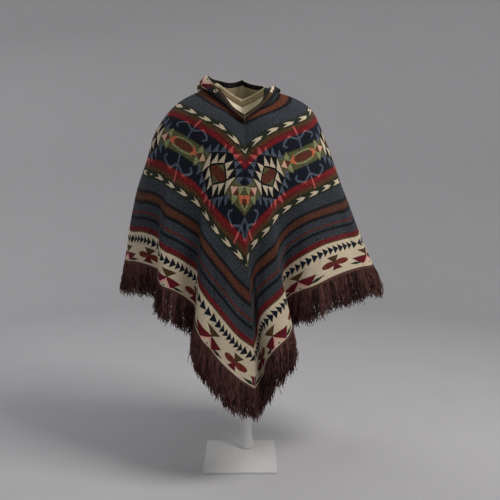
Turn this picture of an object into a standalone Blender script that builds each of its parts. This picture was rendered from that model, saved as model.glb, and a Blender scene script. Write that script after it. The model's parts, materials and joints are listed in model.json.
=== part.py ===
"""Hooded poncho hung on a limbless dress form with its pole and square foot. Metres, z up, front towards -Y.
Each half of the poncho is one strip of cloth, mitred at the centre front and the centre back, so that its
stripes meet there in a V. A half is a surface through six rings, which run from the neck edge to the hem."""
from math import pi, radians, sin, tan

import bpy
import numpy as np

PANEL_WIDTH = 0.71          # across the strip, from the stripe that meets the V of the neck to the hem
NECK_EXTRA = 0.06           # how far the neck edge lies above that stripe over the shoulder
SEAM_ANGLE = radians(40)    # mitre: the seam against the line down the middle of the strip
WALL = 0.0022               # thickness of the wool cloth
GAP = 0.0003                # left between two pieces that are sewn together
COLUMN_STEP = 0.030         # along the hem, between columns of the mesh
CLOTH_ROWS = (0.0, 0.07, 0.145, 0.20, 0.25, 0.30, 0.37, 0.45, 0.53, 0.61, 0.69, 0.77, 0.86, 1.0)

HOOD_WALL = 0.0018
HOOD_ROWS = 17
HOOD_TURN = ((-0.0010, -0.0011), (-0.0062, 0.0006), (-0.0054, 0.0064))   # seam and turn over the neck edge
HOOD_LIFT = 0.0080          # how far the hood's inner layer lies off the cloth, more towards the pouch's bottom
HOOD_CREASE = 0.0090        # the same at the bottom of the pouch
BLEND_DEPTH = 0.05          # down to here the hood turns from the neck's direction to the cloth's own

TAPE_WIDTH = 0.012          # woven heading of the fringe
TAPE_GAP = 0.0008           # between the hem and the heading
TAPE_THICKNESS = 0.0032
LOCK_LENGTH = 0.105
LOCK_SPREAD = 0.016         # how much longer or shorter a lock can be
LOCK_MIDDLE = 0.50          # share of its length at which a lock has narrowed
LOCK_NARROW = 0.62          # its width there, as a share of its root
LOCK_LEAN = 0.004           # how far a lock leans along the hem, either way
LOCK_FALL = 0.35            # pull of its weight against the cloth's own direction

FORM_CENTRE = (-0.016, -0.004)
FORM_SIDES = 40
FORM_NECK_DROP = 0.014      # the form's own neck edge lies this far below the cloth's
FORM_SHOULDER = 0.045       # where the form's shoulder line lies under the stripes
FORM_TIP = 0.092            # where the shoulder turns down, a little higher at the side
FORM_TIP_RISE = 0.016
FORM_EASE = 0.003           # extra clearance at the neck and below the shoulder tip
FORM_DISH = ((0.35, 0.012), (0.80, 0.006))   # rings of the hollow top: share of the neck's radius, how far sunk
FORM_CLEARANCE = 0.0033     # between the form and the cloth's inner face at the shoulders
FORM_BOTTOM = 0.755
POLE_RADIUS = 0.0215
FOOT_RADIUS = 0.0305
FOOT_HEIGHT = 0.060
PLATE_SIDE = 0.260
PLATE_THICKNESS = 0.008
PLATE_BEVEL = 0.0015
PLATE_CENTRE = (-0.020, -0.080)
POLE_STEPS = 32
FLARE_SHARES = (0.0, 0.2, 0.4, 0.6, 0.8, 1.0)
FOOT_EDGE = 0.006           # straight edge of the pole's flared foot

# Rings of the two halves. Columns: name, distance across the strip from the first stripe at the neck, number
# of the row that lies at the side, then rows of x, y, z from the centre front seam round to the centre back.
LEFT_RINGS = (
    ("neck", 0.0, 3, (
        (-0.003, -0.105, 1.231), (-0.038, -0.091, 1.253), (-0.064, -0.058, 1.282), (-0.103, 0.005, 1.344),
        (-0.078, 0.055, 1.332), (-0.045, 0.083, 1.310), (-0.014, 0.092, 1.295),
    )),
    ("yoke", 0.100, 5, (
        (0.000, -0.155, 1.121), (-0.034, -0.150, 1.157), (-0.080, -0.131, 1.200), (-0.136, -0.100, 1.229),
        (-0.194, -0.062, 1.259), (-0.244, 0.000, 1.280), (-0.195, 0.062, 1.260), (-0.140, 0.108, 1.230),
        (-0.075, 0.135, 1.200), (-0.012, 0.145, 1.177),
    )),
    ("breast", 0.245, 6, (
        (-0.003, -0.186, 0.947), (-0.050, -0.178, 0.999), (-0.096, -0.158, 1.044), (-0.154, -0.128, 1.096),
        (-0.215, -0.092, 1.136), (-0.276, -0.052, 1.164), (-0.326, -0.005, 1.168), (-0.318, 0.060, 1.165),
        (-0.275, 0.125, 1.125), (-0.190, 0.175, 1.075), (-0.100, 0.195, 1.030), (-0.012, 0.200, 0.995),
    )),
    ("lower", 0.378, 9, (
        (0.005, -0.205, 0.750), (-0.031, -0.203, 0.790), (-0.069, -0.195, 0.828), (-0.105, -0.183, 0.868),
        (-0.136, -0.160, 0.912), (-0.164, -0.150, 0.949), (-0.213, -0.138, 0.981), (-0.263, -0.105, 1.010),
        (-0.302, -0.072, 1.032), (-0.348, -0.030, 1.044), (-0.372, 0.060, 1.050), (-0.318, 0.135, 1.005),
        (-0.240, 0.175, 0.945), (-0.165, 0.205, 0.885), (-0.090, 0.205, 0.830), (-0.015, 0.225, 0.810),
    )),
    ("band", 0.464, 11, (
        (0.017, -0.222, 0.636), (-0.028, -0.225, 0.679), (-0.071, -0.218, 0.732), (-0.113, -0.208, 0.782),
        (-0.145, -0.190, 0.824), (-0.160, -0.160, 0.857), (-0.188, -0.150, 0.876), (-0.229, -0.148, 0.902),
        (-0.272, -0.140, 0.925), (-0.292, -0.108, 0.946), (-0.325, -0.085, 0.960), (-0.374, -0.035, 0.962),
        (-0.402, 0.060, 0.970), (-0.340, 0.130, 0.925), (-0.262, 0.150, 0.865), (-0.215, 0.205, 0.810),
        (-0.150, 0.225, 0.760), (-0.090, 0.205, 0.720), (-0.015, 0.240, 0.695),
    )),
    ("hem", 0.710, 15, (
        (0.032, -0.270, 0.337), (-0.011, -0.287, 0.370), (-0.064, -0.288, 0.417), (-0.117, -0.275, 0.474),
        (-0.150, -0.262, 0.511), (-0.169, -0.238, 0.552), (-0.166, -0.198, 0.575), (-0.175, -0.168, 0.596),
        (-0.204, -0.168, 0.622), (-0.248, -0.180, 0.652), (-0.292, -0.178, 0.671), (-0.303, -0.145, 0.696),
        (-0.304, -0.105, 0.710), (-0.342, -0.098, 0.724), (-0.384, -0.078, 0.732), (-0.426, -0.040, 0.730),
        (-0.430, 0.075, 0.740), (-0.365, 0.135, 0.705), (-0.270, 0.135, 0.650), (-0.262, 0.195, 0.610),
        (-0.190, 0.235, 0.550), (-0.135, 0.215, 0.490), (-0.115, 0.255, 0.450), (-0.060, 0.285, 0.400),
        (-0.020, 0.290, 0.365),
    )),
)
RIGHT_RINGS = (
    ("neck", 0.0, 3, (
        (-0.003, -0.105, 1.231), (0.030, -0.088, 1.254), (0.058, -0.055, 1.278), (0.072, 0.005, 1.330),
        (0.050, 0.055, 1.322), (0.018, 0.083, 1.307), (-0.014, 0.092, 1.295),
    )),
    ("yoke", 0.100, 5, (
        (0.000, -0.155, 1.121), (0.039, -0.150, 1.157), (0.090, -0.132, 1.189), (0.148, -0.100, 1.212),
        (0.208, -0.055, 1.238), (0.224, 0.012, 1.270), (0.175, 0.070, 1.255), (0.118, 0.112, 1.228),
        (0.055, 0.136, 1.200), (-0.012, 0.145, 1.177),
    )),
    ("breast", 0.245, 6, (
        (-0.003, -0.186, 0.947), (0.032, -0.172, 0.986), (0.075, -0.150, 1.028), (0.134, -0.122, 1.069),
        (0.200, -0.088, 1.097), (0.252, -0.048, 1.121), (0.289, 0.005, 1.142), (0.270, 0.065, 1.150),
        (0.235, 0.125, 1.115), (0.160, 0.172, 1.070), (0.075, 0.195, 1.028), (-0.012, 0.200, 0.995),
    )),
    ("lower", 0.378, 9, (
        (0.005, -0.205, 0.750), (0.014, -0.190, 0.791), (0.040, -0.178, 0.827), (0.081, -0.172, 0.869),
        (0.105, -0.152, 0.902), (0.143, -0.135, 0.930), (0.189, -0.118, 0.957), (0.249, -0.090, 0.982),
        (0.301, -0.055, 1.005), (0.333, -0.005, 1.019), (0.325, 0.060, 1.035), (0.290, 0.120, 0.995),
        (0.215, 0.165, 0.940), (0.150, 0.200, 0.885), (0.070, 0.205, 0.840), (-0.015, 0.225, 0.810),
    )),
    ("band", 0.464, 10, (
        (0.017, -0.222, 0.636), (0.021, -0.196, 0.685), (0.035, -0.190, 0.728), (0.069, -0.190, 0.761),
        (0.101, -0.178, 0.790), (0.116, -0.150, 0.818), (0.138, -0.138, 0.846), (0.196, -0.130, 0.886),
        (0.257, -0.100, 0.907), (0.314, -0.060, 0.921), (0.359, -0.012, 0.933), (0.360, 0.060, 0.960),
        (0.312, 0.120, 0.920), (0.232, 0.150, 0.860), (0.195, 0.205, 0.810), (0.110, 0.215, 0.750),
        (0.055, 0.210, 0.725), (-0.015, 0.240, 0.695),
    )),
    ("hem", 0.710, 15, (
        (0.032, -0.270, 0.337), (0.058, -0.225, 0.363), (0.071, -0.232, 0.418), (0.080, -0.272, 0.453),
        (0.111, -0.268, 0.484), (0.143, -0.245, 0.508), (0.155, -0.210, 0.533), (0.139, -0.162, 0.563),
        (0.130, -0.126, 0.593), (0.151, -0.134, 0.620), (0.183, -0.160, 0.644), (0.230, -0.172, 0.663),
        (0.290, -0.150, 0.688), (0.358, -0.105, 0.705), (0.414, -0.060, 0.711), (0.457, -0.020, 0.711),
        (0.425, 0.065, 0.745), (0.360, 0.120, 0.710), (0.262, 0.138, 0.650), (0.225, 0.165, 0.615),
        (0.232, 0.225, 0.570), (0.150, 0.255, 0.505), (0.085, 0.225, 0.450), (0.035, 0.270, 0.400),
        (-0.020, 0.290, 0.365),
    )),
)

# Cross-section of the laid-back hood, at places from the centre front (-1) by the side (0) to the centre
# back (1). Columns: place, depth of the pouch down the cloth, its fullness, the rim's place down and off it.
LEFT_HOOD = (
    (-1.00, 0.012, 0.0115, 0.005, 0.0120),
    (-0.70, 0.017, 0.0115, 0.008, 0.0110),
    (-0.35, 0.025, 0.019, 0.005, 0.020),
    (0.00, 0.050, 0.036, 0.019, 0.040),
    (0.35, 0.090, 0.055, 0.009, 0.062),
    (0.70, 0.150, 0.075, -0.016, 0.083),
    (1.00, 0.185, 0.082, -0.052, 0.090),
)
RIGHT_HOOD = (
    (-1.00, 0.012, 0.0115, 0.005, 0.0120),
    (-0.70, 0.014, 0.0120, 0.004, 0.0125),
    (-0.35, 0.018, 0.015, 0.006, 0.016),
    (0.00, 0.030, 0.0145, 0.014, 0.0125),
    (0.35, 0.070, 0.032, 0.016, 0.028),
    (0.70, 0.145, 0.070, -0.012, 0.074),
    (1.00, 0.185, 0.082, -0.052, 0.090),
)

# Dress form below the shoulders. Columns: height at the sides, half width, depth to the front, to the back,
# how much lower the ring runs at the front, and at the back.
FORM_RINGS = (
    (1.200, 0.181, 0.146, 0.122, 0.105, 0.065),
    (1.125, 0.168, 0.147, 0.112, 0.062, 0.040),
    (1.050, 0.150, 0.130, 0.098, 0.020, 0.015),
    (0.960, 0.128, 0.103, 0.088, 0.0, 0.0),
    (0.890, 0.142, 0.108, 0.104, 0.0, 0.0),
    (0.820, 0.165, 0.118, 0.122, 0.0, 0.0),
    (0.770, 0.168, 0.120, 0.124, 0.0, 0.0),
    (0.757, 0.160, 0.113, 0.117, 0.0, 0.0),
    (FORM_BOTTOM, 0.150, 0.104, 0.108, 0.0, 0.0),
)


def clear_scene():
    """Leave nothing of the startup scene."""
    for obj in list(bpy.data.objects):
        bpy.data.objects.remove(obj, do_unlink=True)


def through(places, rows, at):
    """Cubic through the rows: each slope is the mean of its neighbours', weighted by the nearer one."""
    places, rows = np.asarray(places, float), np.asarray(rows, float)
    step = np.diff(places)[:, None]
    slope = np.diff(rows, axis=0) / step
    tangent = np.empty_like(rows)
    tangent[1:-1] = (slope[:-1] * step[1:] + slope[1:] * step[:-1]) / (step[1:] + step[:-1])
    tangent[0] = 1.5 * slope[0] - 0.5 * tangent[1]
    tangent[-1] = 1.5 * slope[-1] - 0.5 * tangent[-2]
    at = np.asarray(at, float)
    i = np.clip(np.searchsorted(places, at, side="right") - 1, 0, len(places) - 2)
    d = step[i]
    t = (at - places[i])[:, None] / d
    return (
        (2 * t**3 - 3 * t**2 + 1) * rows[i]
        + (t**3 - 2 * t**2 + t) * d * tangent[i]
        + (3 * t**2 - 2 * t**3) * rows[i + 1]
        + (t**3 - t**2) * d * tangent[i + 1]
    )


def run_of(points):
    """Distance covered at each point of a line."""
    return np.concatenate([[0.0], np.cumsum(np.linalg.norm(np.diff(points, axis=0), axis=1))])


def ring_places(rows, side):
    """Place of each row on its ring: -1 at the centre front, 0 at the side, 1 at the centre back, by length."""
    rows = np.asarray(rows, float)
    run = run_of(rows)
    place = np.where(run <= run[side], run / run[side] - 1, (run - run[side]) / (run[-1] - run[side]))
    fine = np.linspace(-1, 1, 801)
    for _ in range(3):
        along = np.interp(place, fine, run_of(through(place, rows, fine)))
        place = np.concatenate([
            along[: side + 1] / along[side] - 1,
            (along[side + 1:] - along[side]) / (along[-1] - along[side]),
        ])
    return place


def neck_width(place):
    """Where the neck edge lies across the strip: on the first stripe at the seams, above it over the shoulder."""
    return -NECK_EXTRA * (1 - abs(place) ** 1.5)


def cloth_points(rings, places, widths):
    """Surface of one half: at each place, the cubic through its rings. widths has a row for each place."""
    knots = np.array([through(ring_places(rows, side), rows, places) for _, _, side, rows in rings])
    across = [width for _, width, _, _ in rings]
    return np.array([
        through([neck_width(place)] + across[1:], knots[:, k], widths[k]) for k, place in enumerate(places)
    ])


def unit(vectors):
    """Vectors of length 1."""
    return vectors / np.linalg.norm(vectors, axis=-1, keepdims=True)


def grid_normals(grid):
    """Normals of a grid of points, from the lines through each point's neighbours."""
    return unit(np.cross(np.gradient(grid, axis=0), np.gradient(grid, axis=1)))


def hem_places(rings):
    """Columns of a half: one at each row of the hem, so at each fold's crest, and more in between."""
    _, _, side, rows = rings[-1]
    places = ring_places(rows, side)
    run = run_of(np.asarray(rows))
    found = [places[0]]
    for a, b, length in zip(places[:-1], places[1:], np.diff(run)):
        count = max(1, round(length / COLUMN_STEP))
        found += list(a + (b - a) * np.arange(1, count + 1) / count)
    return np.array(found)


def outward(sign, grid):
    """Grid normals that point away from the wearer. sign tells the right half from the left."""
    return -sign * grid_normals(grid)


def panel_grid(rings, places):
    """Points of a half on the mesh's own rows, from the neck edge to the hem."""
    widths = np.array([
        neck_width(place) + np.array(CLOTH_ROWS) * (PANEL_WIDTH - neck_width(place)) for place in places
    ])
    return cloth_points(rings, places, widths)


def seam_normals():
    """Normals shared by the two halves down each seam, so that their edges lie face to face."""
    ends = []
    for sign, rings in ((1, RIGHT_RINGS), (-1, LEFT_RINGS)):
        normals = outward(sign, panel_grid(rings, hem_places(rings)))
        ends.append((normals[0], normals[-1]))
    return unit(ends[0][0] + ends[1][0]), unit(ends[0][1] + ends[1][1])


def make_object(name, points, faces, material):
    """A named mesh object in its own collection."""
    mesh = bpy.data.meshes.new(name)
    mesh.from_pydata([tuple(p) for p in points], [], faces)
    mesh.validate()
    mesh.materials.append(material)
    for polygon in mesh.polygons:
        polygon.use_smooth = True
    obj = bpy.data.objects.new(name, mesh)
    PARTS.objects.link(obj)
    return obj


def make_material(name, colour, roughness, metallic=0.0):
    """A plain Principled material."""
    material = bpy.data.materials.new(name)
    material.use_nodes = True
    shader = material.node_tree.nodes["Principled BSDF"]
    shader.inputs["Base Color"].default_value = (*colour, 1.0)
    shader.inputs["Roughness"].default_value = roughness
    shader.inputs["Metallic"].default_value = metallic
    return material


def shell(name, outer, inner, material, flip):
    """Closed wall between two grids of points that match."""
    n, m = outer.shape[:2]
    points = np.concatenate([outer.reshape(-1, 3), inner.reshape(-1, 3)])
    out = np.arange(n * m).reshape(n, m)
    back = out + n * m
    faces = []
    for i in range(n - 1):
        for j in range(m - 1):
            faces.append((out[i, j], out[i + 1, j], out[i + 1, j + 1], out[i, j + 1]))
            faces.append((back[i, j], back[i, j + 1], back[i + 1, j + 1], back[i + 1, j]))
    for i in range(n - 1):
        faces.append((out[i, 0], back[i, 0], back[i + 1, 0], out[i + 1, 0]))
        faces.append((out[i, m - 1], out[i + 1, m - 1], back[i + 1, m - 1], back[i, m - 1]))
    for j in range(m - 1):
        faces.append((out[0, j], out[0, j + 1], back[0, j + 1], back[0, j]))
        faces.append((out[n - 1, j], back[n - 1, j], back[n - 1, j + 1], out[n - 1, j + 1]))
    if flip:
        faces = [face[::-1] for face in faces]
    return make_object(name, points, [tuple(int(k) for k in face) for face in faces], material)


def shift_seams(grid, sign):
    """Move the first and last columns off the seams by half a gap, each half to its own side."""
    grid = grid.copy()
    grid[[0, -1], ..., 0] += sign * GAP
    return grid


def make_panel(name, sign, rings, material, seams):
    """One half of the poncho."""
    grid = panel_grid(rings, hem_places(rings))
    normals = outward(sign, grid)
    normals[0], normals[-1] = seams
    grid = shift_seams(grid, sign)
    return shell(name, grid, grid - normals * WALL, material, sign > 0)


def hood_section(row):
    """Section of the hood at one place, as distances down the cloth and off it: up from the seam, over,
    down the outside of the half to the bottom of the pouch, and back up to the rim."""
    _, depth, full, rim_down, rim_off = row
    crease, rise = HOOD_CREASE, full - HOOD_CREASE
    knots = np.array([
        *HOOD_TURN, (0.0030 + 0.1 * depth, 0.9 * HOOD_LIFT), (0.0040 + 0.55 * depth, HOOD_LIFT + 0.02 * depth),
        (0.0060 + depth, crease + 0.03 * depth), (0.0080 + depth, crease + 0.37 * rise),
        (0.0040 + 0.80 * depth, crease + 0.80 * rise), (0.45 * depth + 0.55 * rim_down, full),
        (rim_down, rim_off),
    ])
    run = run_of(knots)
    return through(run, knots, run[-1] * hood_rows())


def hood_rows():
    """Rows of the hood from its seam (0) to its rim (1), closer together at the turn over the neck edge."""
    even = np.linspace(0, 1, HOOD_ROWS)
    return even**1.2


def make_hood(name, sign, rings, table, material, seams):
    """One half of the hood, laid back on the shoulders with its pouch open upwards."""
    places = hem_places(rings)
    places = np.append(places[:-1:2], places[-1])
    table = np.array(table)
    rows = through(table[:, 0], table, places)
    sections = np.array([hood_section(row) for row in rows])
    down, off = sections[..., 0], sections[..., 1]
    start = np.array([neck_width(place) for place in places])
    slant = np.cos(np.arctan(places * tan(SEAM_ANGLE)))
    widths = start[:, None] + np.maximum(down, 0) * slant[:, None]
    on_cloth = cloth_points(rings, places, widths)
    near = cloth_points(rings, places, start[:, None] + np.array([0.0, 0.012]) * slant[:, None])
    above = unit(near[:, 1] - near[:, 0])
    around = unit(np.gradient(near[:, 0], axis=0))
    neck_normal = -sign * unit(np.cross(around, above))
    neck_normal[0], neck_normal[-1] = seams[0][0], seams[1][0]
    far = cloth_points(rings, places, widths + 0.01)
    local = -sign * unit(np.cross(unit(np.gradient(on_cloth, axis=0)), unit(far - on_cloth)))
    local[0], local[-1] = seams[0][0], seams[1][0]
    share = np.clip(down / BLEND_DEPTH, 0, 1)[..., None]
    normal = unit(neck_normal[:, None] * (1 - share) + local * share)
    middle = on_cloth + np.minimum(down, 0)[..., None] * above[:, None] + off[..., None] * normal
    middle = shift_seams(middle, sign)
    side = outward(sign, middle)
    for end in (0, -1):
        side[end, :, 0] = 0
        side[end] = unit(side[end])
    return shell(name, middle + side * HOOD_WALL / 2, middle - side * HOOD_WALL / 2, material, sign > 0)


def with_halves(rows):
    """The rows with the mean of each two neighbours put in between."""
    out = np.repeat(rows, 2, axis=0)[:-1]
    out[1::2] = (rows[:-1] + rows[1:]) / 2
    return out


def make_fringe(name, sign, rings, front, material, seams, rng):
    """A quarter of the fringe: a narrow tape below the hem and its locks, each drawn out of the tape's lower edge."""
    places = hem_places(rings)
    grid = panel_grid(rings, places)
    normals = outward(sign, grid)
    normals[0], normals[-1] = seams
    grid = shift_seams(grid, sign)
    quarter = places <= 1e-9 if front else places >= -1e-9
    edge = with_halves(grid[quarter, -1])
    down = unit(with_halves(unit(grid[quarter, -1] - grid[quarter, -2])))
    normal = unit(with_halves(normals[quarter, -1]))
    around = unit(np.gradient(edge, axis=0))
    edge = edge - normal * WALL / 2
    side_end = -1 if front else 0
    edge[side_end] += around[side_end] * (-GAP if front else GAP)
    top, low = edge + down * TAPE_GAP, edge + down * TAPE_WIDTH
    half = normal * TAPE_THICKNESS / 2
    n = len(edge)
    points = np.concatenate([top + half, low + half, low - half, top - half])
    outer_top, outer_low, inner_low, inner_top = (np.arange(n) + n * k for k in range(4))
    faces = [(outer_top[0], inner_top[0], inner_low[0], outer_low[0]),
             (outer_top[-1], outer_low[-1], inner_low[-1], inner_top[-1])]
    extra = []
    for i in range(n - 1):
        j = i + 1
        faces.append((outer_top[i], outer_low[i], outer_low[j], outer_top[j]))
        faces.append((inner_top[i], inner_top[j], inner_low[j], inner_low[i]))
        faces.append((outer_top[i], outer_top[j], inner_top[j], inner_top[i]))
        root = [low[i] + half[i], low[j] + half[j], low[j] - half[j], low[i] - half[i]]
        centre = np.mean(root, axis=0)
        length = LOCK_LENGTH + LOCK_SPREAD * rng.uniform(-1, 1)
        heading = unit(down[i] + down[j] + np.array([0, 0, -LOCK_FALL]))
        lean = unit(around[i] + around[j]) * LOCK_LEAN * rng.uniform(-1, 1)
        halfway = centre + heading * length * LOCK_MIDDLE + lean
        middle = [halfway + (corner - centre) * LOCK_NARROW for corner in root]
        tip = centre + heading * length + 2 * lean
        first = 4 * n + len(extra)
        extra += middle + [tip]
        ring = (outer_low[i], outer_low[j], inner_low[j], inner_low[i])
        for k in range(4):
            nxt = (k + 1) % 4
            faces.append((ring[k], first + k, first + nxt, ring[nxt]))
            faces.append((first + k, first + 4, first + nxt))
    points = np.concatenate([points, np.array(extra)])
    faces = [tuple(int(k) for k in face) for face in faces]
    if sign < 0:
        faces = [face[::-1] for face in faces]
    return make_object(name, points, faces, material)


def loft(name, rings, caps, material):
    """Closed body through rings of points, with a point at each end."""
    count, sides = len(rings), len(rings[0])
    points = np.concatenate([np.concatenate(rings), np.array(caps)])
    low, high = count * sides, count * sides + 1
    faces = []
    for k in range(sides):
        nxt = (k + 1) % sides
        faces.append((low, k, nxt))
        faces.append((high, (count - 1) * sides + nxt, (count - 1) * sides + k))
        for r in range(count - 1):
            a, b = r * sides, (r + 1) * sides
            faces.append((a + k, b + k, b + nxt, a + nxt))
    return make_object(name, points, faces, material)


def form_shoulders(places, widths, clearance):
    """A ring of the dress form that follows the inner face of the cloth, right half first."""
    ring = []
    for sign, rings, order in ((1, RIGHT_RINGS, places), (-1, LEFT_RINGS, places[::-1])):
        across = np.array([[w, w + 0.01] for w in widths(order)])
        grid = cloth_points(rings, order, across)
        direction = 1 if order[0] < order[-1] else -1
        normal = -sign * direction * unit(np.cross(np.gradient(grid[:, 0], axis=0), grid[:, 1] - grid[:, 0]))
        ring.append(grid[:, 0] - normal * clearance)
    return np.concatenate(ring)


def make_form(material):
    """Limbless, neckless dress form: shoulders that carry the cloth, bust, waist and a flat bottom."""
    half = FORM_SIDES // 2
    places = -1 + (np.arange(half) + 0.5) * 2 / half
    wall = WALL + FORM_CLEARANCE
    loose = wall + FORM_EASE
    necks = form_shoulders(places, lambda p: neck_width(p) + FORM_NECK_DROP, loose)
    yoke = form_shoulders(places, lambda p: FORM_SHOULDER + 0 * p, wall)
    tips = form_shoulders(places, lambda p: FORM_TIP - FORM_TIP_RISE * (1 - abs(p)), loose)
    centre = np.array([*FORM_CENTRE, 0.0])
    dish = []
    for share, sink in FORM_DISH:
        ring = centre + (necks - centre) * [share, share, 0]
        front = necks[:, 2].min()
        ring[:, 2] = front + (necks[:, 2] - front) * share**2 - sink
        dish.append(ring)
    angle = np.arctan2(tips[:, 1] - FORM_CENTRE[1], tips[:, 0] - FORM_CENTRE[0])
    rings = dish + [necks, yoke, tips]
    for height, width, front, back, front_drop, back_drop in FORM_RINGS:
        depth = np.where(np.sin(angle) < 0, front, back)
        x = FORM_CENTRE[0] + width * np.cos(angle)
        y = FORM_CENTRE[1] + depth * np.sin(angle)
        drop = np.where(np.sin(angle) < 0, front_drop, back_drop)
        z = height - drop * np.sin(angle) ** 2
        rings.append(np.stack([x, y, z], axis=1))
    caps = [(*FORM_CENTRE, dish[0][:, 2].min() - 0.001), (*FORM_CENTRE, FORM_BOTTOM)]
    return loft("form_torso", rings, caps, material)


def make_pole(material):
    """Pole from the plate to the form, flared at its foot: a profile turned round the z axis, from the top down."""
    bottom, top = PLATE_THICKNESS + GAP, FORM_BOTTOM - GAP
    profile = [(0.0, 0.0, top), (POLE_RADIUS, 0.0, top)]
    for share in FLARE_SHARES[::-1]:
        radius = POLE_RADIUS + (FOOT_RADIUS - POLE_RADIUS) * (1 - sin(share * pi / 2))
        profile.append((radius, 0.0, bottom + FOOT_EDGE + FOOT_HEIGHT * share))
    profile += [(FOOT_RADIUS, 0.0, bottom), (0.0, 0.0, bottom)]
    mesh = bpy.data.meshes.new("stand_pole")
    mesh.from_pydata(profile, [(k, k + 1) for k in range(len(profile) - 1)], [])
    mesh.materials.append(material)
    obj = bpy.data.objects.new("stand_pole", mesh)
    PARTS.objects.link(obj)
    turned = obj.modifiers.new("turned", "SCREW")
    turned.steps = turned.render_steps = POLE_STEPS
    turned.use_merge_vertices = True
    turned.merge_threshold = 0.0001
    turned.use_smooth_shade = True
    return obj


def make_plate(material):
    """Square foot plate with its edges eased."""
    bpy.ops.mesh.primitive_cube_add(size=1, location=(*PLATE_CENTRE, PLATE_THICKNESS / 2))
    obj = bpy.context.active_object
    obj.name = obj.data.name = "stand_base"
    obj.scale = (PLATE_SIDE, PLATE_SIDE, PLATE_THICKNESS)
    bpy.ops.object.transform_apply(location=False, rotation=False, scale=True)
    for collection in list(obj.users_collection):
        collection.objects.unlink(obj)
    PARTS.objects.link(obj)
    obj.data.materials.append(material)
    bevel = obj.modifiers.new("eased_edges", "BEVEL")
    bevel.width = PLATE_BEVEL
    bevel.segments = 2
    return obj


clear_scene()
PARTS = bpy.data.collections.new("hooded_poncho_on_dress_form")
bpy.context.scene.collection.children.link(PARTS)

WOOL = make_material("charcoal_wool", (0.055, 0.060, 0.070), 0.95)
HOOD_WOOL = make_material("charcoal_hood_wool", (0.060, 0.065, 0.075), 0.95)
FRINGE_WOOL = make_material("brown_fringe_wool", (0.085, 0.035, 0.028), 0.95)
FORM_CLOTH = make_material("ivory_form", (0.80, 0.78, 0.73), 0.7)
WHITE_PAINT = make_material("white_paint", (0.85, 0.85, 0.84), 0.4)

SEAMS = seam_normals()
make_panel("panel_left", -1, LEFT_RINGS, WOOL, SEAMS)
make_panel("panel_right", 1, RIGHT_RINGS, WOOL, SEAMS)
make_hood("hood_left", -1, LEFT_RINGS, LEFT_HOOD, HOOD_WOOL, SEAMS)
make_hood("hood_right", 1, RIGHT_RINGS, RIGHT_HOOD, HOOD_WOOL, SEAMS)
RNG = np.random.default_rng(11)
make_fringe("fringe_front_left", -1, LEFT_RINGS, True, FRINGE_WOOL, SEAMS, RNG)
make_fringe("fringe_front_right", 1, RIGHT_RINGS, True, FRINGE_WOOL, SEAMS, RNG)
make_fringe("fringe_back_left", -1, LEFT_RINGS, False, FRINGE_WOOL, SEAMS, RNG)
make_fringe("fringe_back_right", 1, RIGHT_RINGS, False, FRINGE_WOOL, SEAMS, RNG)
make_form(FORM_CLOTH)
make_pole(WHITE_PAINT)
make_plate(WHITE_PAINT)
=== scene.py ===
"""Looks of the hooded poncho on its dress form: patterned wool, hood, yarn fringe, form, stand, studio."""
import json
from math import pi, radians, tan

import bpy
import numpy as np
from bpy.props import FloatProperty, FloatVectorProperty, IntProperty, PointerProperty
from bpy.types import Operator, Panel, PropertyGroup
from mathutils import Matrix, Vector

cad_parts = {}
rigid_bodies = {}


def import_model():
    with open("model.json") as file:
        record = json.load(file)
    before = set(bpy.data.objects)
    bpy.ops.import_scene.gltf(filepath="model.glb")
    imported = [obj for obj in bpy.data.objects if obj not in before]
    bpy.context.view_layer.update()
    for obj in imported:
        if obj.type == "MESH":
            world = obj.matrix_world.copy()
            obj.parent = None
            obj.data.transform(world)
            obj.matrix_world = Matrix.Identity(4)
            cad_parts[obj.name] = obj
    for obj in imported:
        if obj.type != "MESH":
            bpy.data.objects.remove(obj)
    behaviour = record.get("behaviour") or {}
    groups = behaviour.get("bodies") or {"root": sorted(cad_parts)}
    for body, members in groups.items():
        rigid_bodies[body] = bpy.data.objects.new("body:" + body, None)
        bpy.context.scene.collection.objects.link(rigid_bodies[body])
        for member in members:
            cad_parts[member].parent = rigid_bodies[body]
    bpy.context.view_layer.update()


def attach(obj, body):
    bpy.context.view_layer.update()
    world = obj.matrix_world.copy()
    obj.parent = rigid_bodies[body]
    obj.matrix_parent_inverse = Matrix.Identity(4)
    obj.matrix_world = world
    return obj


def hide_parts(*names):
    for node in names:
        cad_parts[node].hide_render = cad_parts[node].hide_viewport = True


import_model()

bl_info = {
    "name": "Hooded Poncho",
    "version": (1, 0, 0),
    "blender": (4, 5, 0),
    "location": "View3D > Sidebar > Poncho",
    "description": "Builds the cloth, hood, fringe, dress form, stand and studio of a hooded poncho",
    "category": "Add Mesh",
}

# Cut of the cloth
PANEL_WIDTH = 0.71          # across the strip, from the stripe that meets the V of the neck to the hem
NECK_EXTRA = 0.06           # how far the neck edge lies above that stripe over the shoulder
NECK_HALF = 0.30            # the mitres would meet this far above the first stripe
SEAM_SLOPE = tan(radians(40))
GAP = 0.0003
STITCH = 1.3                # step of a figure's edge, in millimetres
WEAVE_PITCH = 0.0021
WOOL_GRAIN = ((430.0, 2.0), (150.0, 3.0), (9.0, 2.0))   # scale and detail of its flecks, patches and wear
PALE_HEATHER = 0.22         # least share of the heathering, on the palest yarns
WOOL_RELIEF = 0.0007
YARN_SHEEN = 0.05
RIB_PITCH, HEADING_WEAVE = 0.0022, 0.0040
BROAD_GRAIN = 6.0           # scale of the slow changes in jersey, paint and floor

# Laid-back hood
HOOD_TURN = ((-0.0010, -0.0011), (-0.0062, 0.0006), (-0.0054, 0.0064))   # seam and turn over the neck edge
HOOD_LIFT = 0.0080          # how far its inner layer lies off the cloth
HOOD_CREASE = 0.0090        # the same at the bottom of the pouch
BLEND_DEPTH = 0.05          # down to here the hood turns from the neck's direction to the cloth's own

CLOTH_THICKNESS = 0.0022

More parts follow.
